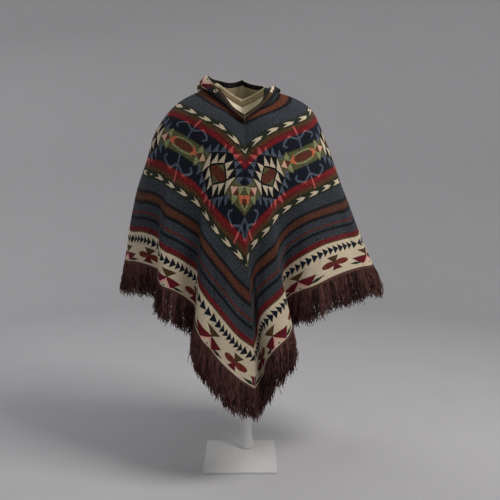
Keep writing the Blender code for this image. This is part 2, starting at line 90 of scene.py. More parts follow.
# Fringe and its woven heading
TAPE_WIDTH = 0.012
TAPE_GAP = 0.0008
TAPE_THICKNESS = 0.0032
LOCK_YARNS = 12             # yarns that cling together
LOCK_FALL = 0.45            # pull of its weight against the cloth's own direction
POINT_FALL = 0.35           # added to that pull near the points, where the hem is steep
POINT_LONGER = 0.15         # share by which the yarns there are longer
TIP_SHORTER = 0.26          # and by which they are shorter again at the very tip
POINT_FROM = (0.55, 0.78)   # places on the hem between which it turns steep
TIP_FROM = (0.84, 1.0)      # and between which the yarns shorten
LOCK_LEAN, YARN_LEAN = 0.07, 0.045      # lean along the hem, as a share of the length: locks, their yarns
LOCK_SWING, YARN_SWING = 0.05, 0.04     # the same outwards
SWING_IN = -0.01            # mean of the outward lean
GATHER, GATHER_END = 0.40, 0.55         # share by which a lock draws together, and how far down
OPENING = 0.10              # share by which it opens again below that
YARN_TAPER = 0.30
ROOT_DEPTH = 0.0025         # how deep a yarn starts in the heading
YARN_STEPS = 14
TWIST_LENGTH = 0.009        # along a yarn, for one turn of its plies

# Dress form and stand
FORM_CENTRE = (-0.016, -0.004)
FORM_SIDES = 144
FORM_ROWS = 72
FORM_NECK_DROP = 0.014      # the form's own neck edge lies this far below the cloth's
FORM_SHOULDER = 0.045       # where the form's shoulder line lies under the stripes
FORM_TIP = 0.092            # where the shoulder turns down, a little higher at the side
FORM_TIP_RISE = 0.016
FORM_EASE = 0.003           # extra clearance at the neck and below the shoulder tip
FORM_DISH = ((0.35, 0.012), (0.80, 0.006))   # hollow top: share of the neck's radius, how far sunk
FORM_CLEARANCE = 0.0033     # between the form and the cloth's inner face at the shoulders
FORM_BOTTOM = 0.755
POLE_RADIUS = 0.0215
FOOT_RADIUS = 0.0305
FOOT_HEIGHT = 0.060
FOOT_EDGE = 0.006           # straight edge of the pole's flared foot
FOOT_EASING = 0.0012
PLATE_SIDE = 0.260
PLATE_THICKNESS = 0.008
PLATE_BEVEL = 0.0015
PLATE_CORNER = 0.004
PLATE_CENTRE = (-0.020, -0.080)

# Meshes
HALF_COLUMNS, HALF_ROWS = 260, 112
HOOD_COLUMNS, HOOD_ROWS = 130, 72
TAPE_COLUMNS = 260
SHARP = radians(55)

# Camera: its place, how far it looks down, and its focal length as a share of the picture's width
CAMERA_PLACE = (0.0152, -2.4, 1.12)
CAMERA_TILT = 8.5
CAMERA_FOCUS = 667 / 500

LEFT_RINGS = (
    ("neck", 0.0, 3, (
        (-0.003, -0.105, 1.231), (-0.038, -0.091, 1.253), (-0.064, -0.058, 1.282), (-0.103, 0.005, 1.344),
        (-0.078, 0.055, 1.332), (-0.045, 0.083, 1.310), (-0.014, 0.092, 1.295),
    )),
    ("yoke", 0.100, 5, (
        (0.000, -0.155, 1.121), (-0.034, -0.150, 1.157), (-0.080, -0.131, 1.200), (-0.136, -0.100, 1.229),
        (-0.194, -0.062, 1.259), (-0.244, 0.000, 1.280), (-0.195, 0.062, 1.260), (-0.140, 0.108, 1.230),
        (-0.075, 0.135, 1.200), (-0.012, 0.145, 1.177),
    )),
    ("breast", 0.245, 6, (
        (-0.003, -0.186, 0.947), (-0.050, -0.178, 0.999), (-0.096, -0.158, 1.044), (-0.154, -0.128, 1.096),
        (-0.215, -0.092, 1.136), (-0.276, -0.052, 1.164), (-0.326, -0.005, 1.168), (-0.318, 0.060, 1.165),
        (-0.275, 0.125, 1.125), (-0.190, 0.175, 1.075), (-0.100, 0.195, 1.030), (-0.012, 0.200, 0.995),
    )),
    ("lower", 0.378, 9, (
        (0.005, -0.205, 0.750), (-0.031, -0.203, 0.790), (-0.069, -0.195, 0.828), (-0.105, -0.183, 0.868),
        (-0.136, -0.160, 0.912), (-0.164, -0.150, 0.949), (-0.213, -0.138, 0.981), (-0.263, -0.105, 1.010),
        (-0.302, -0.072, 1.032), (-0.348, -0.030, 1.044), (-0.372, 0.060, 1.050), (-0.318, 0.135, 1.005),
        (-0.240, 0.175, 0.945), (-0.165, 0.205, 0.885), (-0.090, 0.205, 0.830), (-0.015, 0.225, 0.810),
    )),
    ("band", 0.464, 11, (
        (0.017, -0.222, 0.636), (-0.028, -0.225, 0.679), (-0.071, -0.218, 0.732), (-0.113, -0.208, 0.782),
        (-0.145, -0.190, 0.824), (-0.160, -0.160, 0.857), (-0.188, -0.150, 0.876), (-0.229, -0.148, 0.902),
        (-0.272, -0.140, 0.925), (-0.292, -0.108, 0.946), (-0.325, -0.085, 0.960), (-0.374, -0.035, 0.962),
        (-0.402, 0.060, 0.970), (-0.340, 0.130, 0.925), (-0.262, 0.150, 0.865), (-0.215, 0.205, 0.810),
        (-0.150, 0.225, 0.760), (-0.090, 0.205, 0.720), (-0.015, 0.240, 0.695),
    )),
    ("hem", 0.710, 15, (
        (0.032, -0.270, 0.337), (-0.011, -0.287, 0.370), (-0.064, -0.288, 0.417), (-0.117, -0.275, 0.474),
        (-0.150, -0.262, 0.511), (-0.169, -0.238, 0.552), (-0.166, -0.198, 0.575), (-0.175, -0.168, 0.596),
        (-0.204, -0.168, 0.622), (-0.248, -0.180, 0.652), (-0.292, -0.178, 0.671), (-0.303, -0.145, 0.696),
        (-0.304, -0.105, 0.710), (-0.342, -0.098, 0.724), (-0.384, -0.078, 0.732), (-0.426, -0.040, 0.730),
        (-0.430, 0.075, 0.740), (-0.365, 0.135, 0.705), (-0.270, 0.135, 0.650), (-0.262, 0.195, 0.610),
        (-0.190, 0.235, 0.550), (-0.135, 0.215, 0.490), (-0.115, 0.255, 0.450), (-0.060, 0.285, 0.400),
        (-0.020, 0.290, 0.365),
    )),
)
RIGHT_RINGS = (
    ("neck", 0.0, 3, (
        (-0.003, -0.105, 1.231), (0.030, -0.088, 1.254), (0.058, -0.055, 1.278), (0.072, 0.005, 1.330),
        (0.050, 0.055, 1.322), (0.018, 0.083, 1.307), (-0.014, 0.092, 1.295),
    )),
    ("yoke", 0.100, 5, (
        (0.000, -0.155, 1.121), (0.039, -0.150, 1.157), (0.090, -0.132, 1.189), (0.148, -0.100, 1.212),
        (0.208, -0.055, 1.238), (0.224, 0.012, 1.270), (0.175, 0.070, 1.255), (0.118, 0.112, 1.228),
        (0.055, 0.136, 1.200), (-0.012, 0.145, 1.177),
    )),
    ("breast", 0.245, 6, (
        (-0.003, -0.186, 0.947), (0.032, -0.172, 0.986), (0.075, -0.150, 1.028), (0.134, -0.122, 1.069),
        (0.200, -0.088, 1.097), (0.252, -0.048, 1.121), (0.289, 0.005, 1.142), (0.270, 0.065, 1.150),
        (0.235, 0.125, 1.115), (0.160, 0.172, 1.070), (0.075, 0.195, 1.028), (-0.012, 0.200, 0.995),
    )),
    ("lower", 0.378, 9, (
        (0.005, -0.205, 0.750), (0.014, -0.190, 0.791), (0.040, -0.178, 0.827), (0.081, -0.172, 0.869),
        (0.105, -0.152, 0.902), (0.143, -0.135, 0.930), (0.189, -0.118, 0.957), (0.249, -0.090, 0.982),
        (0.301, -0.055, 1.005), (0.333, -0.005, 1.019), (0.325, 0.060, 1.035), (0.290, 0.120, 0.995),
        (0.215, 0.165, 0.940), (0.150, 0.200, 0.885), (0.070, 0.205, 0.840), (-0.015, 0.225, 0.810),
    )),
    ("band", 0.464, 10, (
        (0.017, -0.222, 0.636), (0.021, -0.196, 0.685), (0.035, -0.190, 0.728), (0.069, -0.190, 0.761),
        (0.101, -0.178, 0.790), (0.116, -0.150, 0.818), (0.138, -0.138, 0.846), (0.196, -0.130, 0.886),
        (0.257, -0.100, 0.907), (0.314, -0.060, 0.921), (0.359, -0.012, 0.933), (0.360, 0.060, 0.960),
        (0.312, 0.120, 0.920), (0.232, 0.150, 0.860), (0.195, 0.205, 0.810), (0.110, 0.215, 0.750),
        (0.055, 0.210, 0.725), (-0.015, 0.240, 0.695),
    )),
    ("hem", 0.710, 15, (
        (0.032, -0.270, 0.337), (0.058, -0.225, 0.363), (0.071, -0.232, 0.418), (0.080, -0.272, 0.453),
        (0.111, -0.268, 0.484), (0.143, -0.245, 0.508), (0.155, -0.210, 0.533), (0.139, -0.162, 0.563),
        (0.130, -0.126, 0.593), (0.151, -0.134, 0.620), (0.183, -0.160, 0.644), (0.230, -0.172, 0.663),
        (0.290, -0.150, 0.688), (0.358, -0.105, 0.705), (0.414, -0.060, 0.711), (0.457, -0.020, 0.711),
        (0.425, 0.065, 0.745), (0.360, 0.120, 0.710), (0.262, 0.138, 0.650), (0.225, 0.165, 0.615),
        (0.232, 0.225, 0.570), (0.150, 0.255, 0.505), (0.085, 0.225, 0.450), (0.035, 0.270, 0.400),
        (-0.020, 0.290, 0.365),
    )),
)

# Cross-section of the laid-back hood, at places from the centre front (-1) by the side (0) to the centre
# back (1). Columns: place, depth of the pouch down the cloth, its fullness, the rim's place down and off
# the cloth.
LEFT_HOOD = (
    (-1.00, 0.012, 0.0115, 0.005, 0.0120),
    (-0.70, 0.017, 0.0115, 0.008, 0.0110),
    (-0.35, 0.025, 0.019, 0.005, 0.020),
    (0.00, 0.050, 0.036, 0.019, 0.040),
    (0.35, 0.090, 0.055, 0.009, 0.062),
    (0.70, 0.150, 0.075, -0.016, 0.083),
    (1.00, 0.185, 0.082, -0.052, 0.090),
)
RIGHT_HOOD = (
    (-1.00, 0.012, 0.0115, 0.005, 0.0120),
    (-0.70, 0.014, 0.0120, 0.004, 0.0125),
    (-0.35, 0.018, 0.015, 0.006, 0.016),
    (0.00, 0.030, 0.0145, 0.014, 0.0125),
    (0.35, 0.070, 0.032, 0.016, 0.028),
    (0.70, 0.145, 0.070, -0.012, 0.074),
    (1.00, 0.185, 0.082, -0.052, 0.090),
)

# Dress form below the shoulders. Columns: height at the sides, half width, depth to the front, to the back,
# how much lower the ring runs at the front, and at the back.
FORM_RINGS = (
    (1.200, 0.181, 0.146, 0.122, 0.105, 0.065),
    (1.125, 0.168, 0.147, 0.112, 0.062, 0.040),
    (1.050, 0.150, 0.130, 0.098, 0.020, 0.015),
    (0.960, 0.128, 0.103, 0.088, 0.0, 0.0),
    (0.890, 0.142, 0.108, 0.104, 0.0, 0.0),
    (0.820, 0.165, 0.118, 0.122, 0.0, 0.0),
    (0.770, 0.168, 0.120, 0.124, 0.0, 0.0),
    (0.757, 0.160, 0.113, 0.117, 0.0, 0.0),
    (FORM_BOTTOM, 0.150, 0.104, 0.108, 0.0, 0.0),
)

CREASE_GROWTH = 0.55        # share of its length over which a crease grows
SEAM_FADE = 0.05            # share of a half, beside its seams, over which creases fade
# Soft creases laid over the main folds. Columns: half (-1 left, 1 right), place on the hem (-1 centre
# front, 0 side, 1 centre back), width across the strip where it starts, how far it leans in place, its half
# width, its depth.
CREASES = (
    (-1, -0.93, 0.40, 0.02, 0.020, -0.0040),
    (-1, -0.82, 0.30, 0.03, 0.026, 0.0045),
    (-1, -0.70, 0.46, -0.02, 0.018, -0.0040),
    (-1, -0.55, 0.36, 0.02, 0.016, 0.0030),
    (-1, -0.33, 0.42, 0.03, 0.020, -0.0045),
    (-1, -0.18, 0.50, 0.00, 0.016, 0.0035),
    (-1, 0.10, 0.30, 0.02, 0.030, -0.0050),
    (-1, 0.31, 0.44, -0.02, 0.020, 0.0040),
    (-1, 0.52, 0.36, 0.02, 0.022, -0.0045),
    (-1, 0.66, 0.50, 0.01, 0.018, 0.0040),
    (-1, 0.87, 0.34, -0.03, 0.024, -0.0040),
    (1, -0.90, 0.44, 0.02, 0.018, 0.0035),
    (1, -0.78, 0.34, -0.02, 0.022, -0.0045),
    (1, -0.64, 0.48, 0.02, 0.016, 0.0035),
    (1, -0.42, 0.33, 0.02, 0.022, -0.0045),
    (1, -0.27, 0.46, -0.02, 0.020, 0.0040),
    (1, -0.10, 0.38, 0.02, 0.026, -0.0050),
    (1, 0.14, 0.42, 0.01, 0.022, 0.0040),
    (1, 0.35, 0.32, -0.02, 0.028, -0.0050),
    (1, 0.56, 0.48, 0.02, 0.018, 0.0040),
    (1, 0.72, 0.36, 0.01, 0.020, -0.0040),
    (1, 0.90, 0.45, -0.02, 0.022, 0.0040),
)

# Stripes across the strip. Columns: millimetres below the first stripe, the yarn there.
STRIPES = (
    (-60, "charcoal"), (-25, "charcoal"), (-22, "black"), (-16, "black"), (-10, "rust"), (9, "rust"),
    (15, "black"), (22, "black"), (28, "charcoal"), (440, "charcoal"), (443, "black"), (448, "black"),
    (458, "umber"), (474, "umber"), (484, "black"), (491, "black"), (494, "charcoal"), (521, "charcoal"),
    (524, "dark_red"), (529, "umber"), (532, "charcoal"), (540, "charcoal"), (543, "black"), (550, "black"),
    (553, "charcoal"), (576, "charcoal"), (580, "dark_red"), (592, "dark_red"), (596, "bark"),
    (599, "bark"), (601, "cream"),
)
# The patterned field is the same above and below its middle line. Columns: distance from that line, colour.
FIELD_MIDDLE = 241.0
FIELD_HALF = 160.0
FIELD = (
    (0, "bark"), (18, "olive"), (31, "olive"), (35, "moss"), (38, "navy"), (83, "navy"), (87, "dark_red"),
    (95, "red"), (105, "dark_red"), (115, "bark"), (122, "bark"), (127, "moss"), (152, "moss"),
    (158, "charcoal"),
)
# Figures of the field, in millimetres: x from the serrated diamond's middle, y from the field's middle.
FIGURE_STEP = 168.0         # from a diamond to the next oval
OVAL_PLACE = 152.0          # first oval, from the side line towards the centre front
DIAMOND, DIAMOND_CORE = 37.0, 19.0
GROUND = ((-1, -1), (-1, 90), (61, 38), (61, -1))       # black, under the teeth
INNER_TEETH = (             # cream: inner corner, outer corner, tip
    ((2, 42), (21, 26), (17, 71)),
    ((21, 25), (40, 7), (38, 52)),
    ((41, -1), (59, -1), (59, 37)),
)
SMALL_TOOTH = ((63, 0), (86, -1), (86, 18))
OUTER_TEETH = (
    ((2, 90), (19, 75), (19, 117)),
    ((20, 74), (39, 57), (38, 99)),
    ((41, 57), (59, 40), (58, 82)),
    ((62, 38), (80, 19), (79, 62)),
)
SAGE_TOOTH = ((84, 18), (108, 2), (101, 42))
CROSSING = 102.0            # where the orange lines cross, from the diamond
WEDGE = ((86, -1), (86, 18), (CROSSING, 0))
OVAL_END = ((FIGURE_STEP - CROSSING, 0), (40, 20), (40, -1))
OVAL = (45.0, 15.5)
OVAL_RING, OVAL_RING_INSIDE = (60.0, 24.0), (52.0, 19.0)
HOOK = ((0, 65), (34, 89), (63, 73), (67, 63), (58, 54))
HOOK_STROKE = 3.6
STEM = (20.0, 124.0)
ARROW_PERIOD = 64.0
ARROW_START, ARROW_TIP = 33.0, 57.0     # shift of the row, and the tip's place in a period
ARROW_LINE = 139.5          # from the field's middle to a row
ARROW_MARGIN = 60.0         # above a row, where its repeat starts
ARROW_SHIFT = (11.5, 4.5)   # the lower row's lag behind the upper one, and half the halves' difference
ARROW = (((0, 0), (-20, -8), (-40, -9), (-28, 0)), ((0, 0), (-28, 0), (-53, 8), (-15, 8)))
PINK_FROM = 86.0            # teeth and stems that reach into the red turn pink there

# Figures of the cream band, x from the middle of the figure and y from the band's middle line
TURN_PLACE = 30.0           # the rows of arrows and triangles point both ways from here
BAND_MIDDLE = 676.0
BAND_STEP = 148.0           # from a cross to the next flower
CROSS_PLACE = 10.0
TRIANGLE_PITCH = 22.5
TRIANGLE_LINE = 626.0
TRIANGLE_HALF = 17.0
CROSS_TOP = ((0, 0), (34, -26), (-1, -26))
CROSS_WING = ((0, -2), (70, 5), (38, 30), (9, 30))
CROSS_BAR = ((28, 27), (60, 20), (96, 24), (60, 31))
CHEVRON = (8.0, 0.92, 4.0, 27.0)     # apex, slope, half its stroke, half its width
FLOWER_TOP = ((0, 3), (25, -27), (-1, -27))
FLOWER_FOOT = ((0, -2), (22, 26), (-1, 26))
PETAL = (28.5, 1.0, 29.0, 11.0)      # middle x, y, half length, half width

# Where the figures sit on the folded hem, in metres from the side line to the centre front. Columns: place
# in the cloth as it hangs and place in the pattern, on the left half, and the same on the right. The shift
# is spread evenly between rows.
DRIFT = (
    (0.000, 0.010, 0.000, 0.004),
    (0.110, 0.158, 0.172, 0.158),
    (0.273, 0.306, 0.335, 0.306),
    (0.400, 0.454, 0.480, 0.454),
    (0.598, 0.602, 0.622, 0.602),
    (0.723, 0.750, 0.740, 0.750),
    (0.847, 0.870, 0.847, 0.870),
)
DRIFT_FROM = (0.40, 0.58)   # the drift grows between these widths
RIGHT_RISE = 0.012          # the right half's band lies this much higher near the side
RISE_FROM = (0.45, 0.56)    # the rise grows between these widths
RISE_FADE = (0.18, 0.36)    # and fades between these distances from the side line
PLAIN_REVERSE = (0.05, 0.04)    # the reverse of the cloth is plain above these widths, round the neck

# Collar and reverse of the hood, in millimetres
COLLAR_TO = {-1: (-0.22, -0.10), 1: (0.06, 0.16)}    # by half, the dark collar ends between these places
COLLAR_EDGE = 9.0           # a brown edge runs along the rim
PALE_RIM = 42.0             # on the right half the edge is cream up to here in front of the side line
RING_PLACE, RING_LINE = 66.0, 15.0       # a small ring, on the left half alone
RING, RING_STROKE = (5.0, 7.0), 0.42
RIM_BORDER = 22.0           # dark border of the hood's reverse
HOOD_STRETCH = 1.15         # the hood's pattern runs this much further than its neck edge
HOOD_CREASE_END = (0.16, 0.06)      # its creases grow between these distances from the rim
HOOD_RIM = 0.012            # and are held low over this width along it
HOOD_SEAM_FADE = 0.08       # share of the side, beside the seams, over which they fade
# Soft creases of the hood. Columns: place, half width as a share of the side, depth.
HOOD_CREASES = (
    (-0.12, 0.06, 0.0030), (0.12, 0.07, -0.0045), (0.33, 0.06, 0.0050), (0.52, 0.05, -0.0050),
    (0.70, 0.06, 0.0045), (0.86, 0.05, -0.0040),
)


def tone(colour):
    """Linear colour of an sRGB one given from 0 to 255."""
    value = np.array(colour, float) / 255
    linear = np.where(value <= 0.04045, value / 12.92, ((value + 0.055) / 1.055) ** 2.4)
    return tuple(linear.tolist())


# Surfaces

def cubic(places, rows, at):
    """Cubic Hermite curve through rows at their places, read at the given places, for many columns at once.
    The slope at a row is the mean of the slopes beside it, weighted by the nearer row. places is (k, n),
    rows is (k, n, d) and at is (m, n)."""
    places = np.broadcast_to(places, rows.shape[:2])
    step = np.diff(places, axis=0)[..., None]
    slope = np.diff(rows, axis=0) / step
    tangent = np.empty_like(rows)
    tangent[1:-1] = (slope[:-1] * step[1:] + slope[1:] * step[:-1]) / (step[1:] + step[:-1])
    tangent[0] = 1.5 * slope[0] - 0.5 * tangent[1]
    tangent[-1] = 1.5 * slope[-1] - 0.5 * tangent[-2]
    low = (at[None] >= places[1:-1, None]).sum(axis=0)[..., None]

    def pick(values, shift=0):
        return np.take_along_axis(values, low + shift, axis=0)

    d = pick(step)
    t = (at[..., None] - pick(places[..., None])) / d
    return (
        (2 * t**3 - 3 * t**2 + 1) * pick(rows) + (t**3 - 2 * t**2 + t) * d * pick(tangent)
        + (3 * t**2 - 2 * t**3) * pick(rows, 1) + (t**3 - t**2) * d * pick(tangent, 1)
    )


def along_line(places, rows, at):
    """One curve through rows of points, read at the given places."""
    return cubic(np.asarray(places)[:, None], np.asarray(rows)[:, None], np.asarray(at)[:, None])[:, 0]


def run_of(points):
    """Distance covered at each point of a line, along the first axis."""
    steps = np.linalg.norm(np.diff(points, axis=0), axis=-1)
    return np.concatenate([np.zeros_like(steps[:1]), np.cumsum(steps, axis=0)])


def unit(vectors):
    """Vectors of length 1."""
    return vectors / np.linalg.norm(vectors, axis=-1, keepdims=True)


def smooth_step(low, high, value):
    """0 below low, 1 above high, and the cubic 3t^2 - 2t^3 between them."""
    t = np.clip((value - low) / (high - low), 0, 1)
    return t * t * (3 - 2 * t)


def ring_places(rows, side):
    """Place of each row on its ring by length: -1 centre front, 0 side, 1 centre back."""
    rows = np.asarray(rows, float)
    run = run_of(rows)
    place = np.where(run <= run[side], run / run[side] - 1, (run - run[side]) / (run[-1] - run[side]))
    fine = np.linspace(-1, 1, 801)
    for _ in range(3):
        along = np.interp(place, fine, run_of(along_line(place, rows, fine)))
        place = np.concatenate([
            along[: side + 1] / along[side] - 1,
            (along[side + 1:] - along[side]) / (along[-1] - along[side]),
        ])
    return place


def neck_width(place):
    """Where the neck edge lies across the strip: -NECK_EXTRA (1 - |place|^1.5)."""
    return -NECK_EXTRA * (1 - np.abs(place) ** 1.5)


def cloth_points(rings, places, widths):
    """Surface P(width, place) of one half: each ring is a cubic round the body, and down the cloth the
    points at one place are joined by a cubic. widths is (m, n) and the result (m, n, 3)."""
    knots = np.stack([along_line(ring_places(rows, side), rows, places) for _, _, side, rows in rings])
    across = np.array([width for _, width, _, _ in rings])[:, None] + 0 * places
    across[0] = neck_width(places)
    return cubic(across, knots, widths)


def outward(sign, grid):
    """Normals of a grid of points, away from the wearer: around x down, turned by the half's sign."""
    return -sign * unit(np.cross(np.gradient(grid, axis=1), np.gradient(grid, axis=0)))


def along_strip(places, widths):
    """Distance along the strip from its middle line, towards the back: place (0.30 + width) tan 40."""
    return places * (NECK_HALF + widths) * SEAM_SLOPE


def crease_lift(sign, places, widths, depth):
    """Sum of soft creases: depth exp(-((distance from its line) / half width)^2), growing from its start
    down. It fades to nothing at the seams, so that the halves still meet."""
    total = np.zeros_like(widths)
    for half, place, start, lean, half_width, height in CREASES:
        if half != sign:
            continue
        share = (widths - start) / (PANEL_WIDTH - start)
        off_line = along_strip(places, widths) - along_strip(place + lean * share, widths)
        spread = half_width * (0.7 + 0.5 * np.clip(share, 0, 1))
        total += height * np.exp(-((off_line / spread) ** 2)) * smooth_step(0, CREASE_GROWTH, share)
    return depth * total * smooth_step(0, SEAM_FADE, 1 - np.abs(places))


def half_grid(sign, places, widths, depth):
    """Outer face of one half with its creases, and its normals, whose ends at the seams are shared."""
    rings = RIGHT_RINGS if sign > 0 else LEFT_RINGS
    grid = cloth_points(rings, places, widths)
    grid = grid + outward(sign, grid) * crease_lift(sign, places, widths, depth)[..., None]
    normals = outward(sign, grid)
    for end in (0, -1):
        normals[:, end, 0] = 0
    normals = unit(normals)
    grid[:, [0, -1], 0] += sign * GAP
    return grid, normals


def grid_quads(rows, columns, first=0):
    """Quads of a grid of points, numbered row by row."""
    index = np.arange(rows * columns).reshape(rows, columns) + first
    corners = [index[:-1, :-1], index[:-1, 1:], index[1:, 1:], index[1:, :-1]]
    return np.stack(corners, axis=-1).reshape(-1, 4)


def ring_quads(index):
    """Quads between rows of point numbers, where each row is closed to a ring."""
    after = np.roll(index, -1, axis=-1)
    corners = [index[..., :-1, :], after[..., :-1, :], after[..., 1:, :], index[..., 1:, :]]
    return np.stack(corners, axis=-1).reshape(-1, 4)


def wall_between(outer, inner, sign):
    """Points and faces of the closed wall between two grids that match, with a band round their rims."""
    rows, columns = outer.shape[:2]
    count = rows * columns
    index = np.arange(count).reshape(rows, columns)
    rim = np.concatenate([index[0], index[1:, -1], index[-1, -2::-1], index[-2:0:-1, 0]])
    after = np.roll(rim, -1)
    faces = np.concatenate([
        grid_quads(rows, columns),
        grid_quads(rows, columns, count)[:, ::-1],
        np.stack([rim, rim + count, after + count, after], axis=-1),
    ])
    points = np.concatenate([outer.reshape(-1, 3), inner.reshape(-1, 3)])
    return points, faces[:, ::-1] if sign > 0 else faces


def forget(blocks, name):
    """Removes what an earlier run of a step left under that name."""
    old = blocks.get(name)
    if old:
        blocks.remove(old)


def add_object(name, data):
    """A new object in the scene, in place of an earlier one of that name."""
    forget(bpy.data.objects, name)
    item = bpy.data.objects.new(name, data)
    bpy.context.scene.collection.objects.link(item)
    return item


def make_piece(name, points, faces, material, flat=None, values=None):
    """A smooth mesh object, with a UV map named cloth and float attributes given point by point."""
    mesh = bpy.data.meshes.new(name)
    mesh.from_pydata(points, [], faces)
    mesh.update()
    if flat is not None:
        corner = np.empty(len(mesh.loops), np.int32)
        mesh.loops.foreach_get("vertex_index", corner)
        layer = mesh.uv_layers.new(name="cloth")
        layer.data.foreach_set("uv", np.asarray(flat, np.float32)[corner].ravel())
    for label, numbers in (values or {}).items():
        layer = mesh.attributes.new(label, "FLOAT", "POINT")
        layer.data.foreach_set("value", np.asarray(numbers, np.float32))
    mesh.materials.append(material)
    mesh.shade_smooth()
    mesh.set_sharp_from_angle(angle=SHARP)
    return add_object(name, mesh)


def stacked(name, rings, material, flat=None):
    """Closed piece from rings of points, with flat caps at both ends. rings is (rows, ring's points, 3),
    and the faces are turned away from the rings' middles."""
    rows, count = rings.shape[:2]
    index = np.arange(rows * count).reshape(rows, count)
    points, quads = rings.reshape(-1, 3), ring_quads(index)
    corners = points[quads]
    facing = np.cross(corners[:, 1] - corners[:, 0], corners[:, 3] - corners[:, 0])
    middles = np.repeat(rings[:-1].mean(axis=1), count, axis=0)
    if np.median(np.sum(facing * (corners.mean(axis=1) - middles), axis=1)) < 0:
        quads, index = quads[:, ::-1], index[:, ::-1]
    faces = quads.tolist() + [index[0, ::-1].tolist(), index[-1].tolist()]
    return make_piece(name, points, faces, material, flat)


# Shader building

class Level:
    """A number at each point of a surface, worked out by shader nodes as the formula is written."""

    def __init__(self, tree, socket):
        self.tree, self.socket = tree, socket

    def made(self, operation, *others):
        node = self.tree.nodes.new("ShaderNodeMath")
        node.operation = operation
        for slot, value in zip(node.inputs, (self, *others)):
            if isinstance(value, Level):
                self.tree.links.new(value.socket, slot)
            else:
                slot.default_value = float(value)
        return Level(self.tree, node.outputs[0])

    def __add__(self, other):
        return self.made("ADD", other)

    def __sub__(self, other):
        return self.made("SUBTRACT", other)

    def __mul__(self, other):
        return self.made("MULTIPLY", other)

    def __abs__(self):
        return self.made("ABSOLUTE")

    def most(self, other):
        return self.made("MAXIMUM", other)

    def least(self, other):
        return self.made("MINIMUM", other)

    def folded(self, width):
        """Back and forth between 0 and width."""
        return self.made("PINGPONG", width)

    def wrapped(self, width):
        """From 0 to width, and over again."""
        return self.made("FLOORED_MODULO", width)

    def below(self, edge=0.0):
        return self.made("LESS_THAN", edge)


def vector_of(tree, x, y, z=1.0):
    """A vector node's output from levels or numbers."""
    node = tree.nodes.new("ShaderNodeCombineXYZ")
    for slot, value in zip(node.inputs, (x, y, z)):
        if isinstance(value, Level):
            tree.links.new(value.socket, slot)
        else:
            slot.default_value = value
    return node.outputs[0]


def line_level(tree, point, a, b, c):
    """a x + b y + c at each point."""
    node = tree.nodes.new("ShaderNodeVectorMath")
    node.operation = "DOT_PRODUCT"
    tree.links.new(point, node.inputs[0])
    node.inputs[1].default_value = (a, b, c)
    return Level(tree, node.outputs["Value"])


def inside(tree, point, corners):
    """Distance-like level of a convex figure: the greatest of its sides' a x + b y + c, below 0 inside."""
    corners = np.asarray(corners, float)
    after = np.roll(corners, -1, axis=0)
    turn = np.sign((corners[:, 0] * after[:, 1] - after[:, 0] * corners[:, 1]).sum())
    level = None
    for (x0, y0), (x1, y1) in zip(corners, after):
        a, b = np.array((y1 - y0, x0 - x1)) * turn / np.hypot(x1 - x0, y1 - y0)
        side = line_level(tree, point, a, b, -(a * x0 + b * y0))
        level = side if level is None else level.most(side)
    return level


def stroke(tree, point, start, end, half_width):
    """Level of a straight stroke between two points with square ends a little past them."""
    (x0, y0), (x1, y1) = start, end
    length = np.hypot(x1 - x0, y1 - y0)
    a, b = (x1 - x0) / length, (y1 - y0) / length
    across = abs(line_level(tree, point, -b, a, b * x0 - a * y0)) - half_width
    middle = a * (x0 + x1) / 2 + b * (y0 + y1) / 2
    return across.most(abs(line_level(tree, point, a, b, -middle)) - (length / 2 + half_width * 0.6))


def ellipse(x, y, half_x, half_y):
    """(x / half_x)^2 + (y / half_y)^2 - 1, below 0 inside."""
    x, y = x * (1 / half_x), y * (1 / half_y)
    return x * x + y * y - 1.0


def ramp(tree, yarns, level, stops):
    """Colour by a level through stops of (level, yarn)."""
    low, high = stops[0][0], stops[-1][0]
    share = (level - low) * (1 / (high - low))
    node = tree.nodes.new("ShaderNodeValToRGB")
    tree.links.new(share.socket, node.inputs[0])
    elements = node.color_ramp.elements
    while len(elements) < len(stops):
        elements.new(0.5)
    for element, (place, colour) in zip(elements, stops):
        element.position = (place - low) / (high - low)
        element.color = (*getattr(yarns, colour)[:], 1)
    return node.outputs[0]


def blended(tree, share, first, second, blend="MIX"):
    """Colour mix. share, first and second are sockets, levels or plain values."""
    node = tree.nodes.new("ShaderNodeMix")
    node.data_type = "RGBA"
    node.blend_type = blend
    for slot, value in ((node.inputs[0], share), (node.inputs[6], first), (node.inputs[7], second)):
        if isinstance(value, Level):
            tree.links.new(value.socket, slot)
        elif isinstance(value, bpy.types.NodeSocket):
            tree.links.new(value, slot)
        elif isinstance(value, (int, float)):
            slot.default_value = value
        else:
            slot.default_value = (*value[:3], 1.0)
    return node.outputs[2]


def new_group(name, wanted, given):
    """An empty node group, its input and output nodes. wanted and given hold (socket name, socket type)."""
    forget(bpy.data.node_groups, name)
    group = bpy.data.node_groups.new(name, "ShaderNodeTree")
    for label, kind in wanted:
        group.interface.new_socket(label, in_out="INPUT", socket_type=kind)
    for label, kind in given:
        group.interface.new_socket(label, in_out="OUTPUT", socket_type=kind)
    return group, group.nodes.new("NodeGroupInput"), group.nodes.new("NodeGroupOutput")


def parts_of(tree, vector, scale):
    """The first two parts of a vector socket as levels, scaled."""
    node = tree.nodes.new("ShaderNodeSeparateXYZ")
    tree.links.new(vector, node.inputs[0])
    return Level(tree, node.outputs[0]) * scale, Level(tree, node.outputs[1]) * scale


def cloth_uv(tree):
    """Flat coordinates of the cloth, in metres."""
    node = tree.nodes.new("ShaderNodeUVMap")
    node.uv_map = "cloth"
    return node.outputs[0]


def noise_level(tree, place, scale, detail=2.0):
    """Noise about 0 at each point."""
    node = tree.nodes.new("ShaderNodeTexNoise")
    node.inputs["Scale"].default_value = scale
    node.inputs["Detail"].default_value = detail
    tree.links.new(place, node.inputs["Vector"])
    return Level(tree, node.outputs[0]) - 0.5


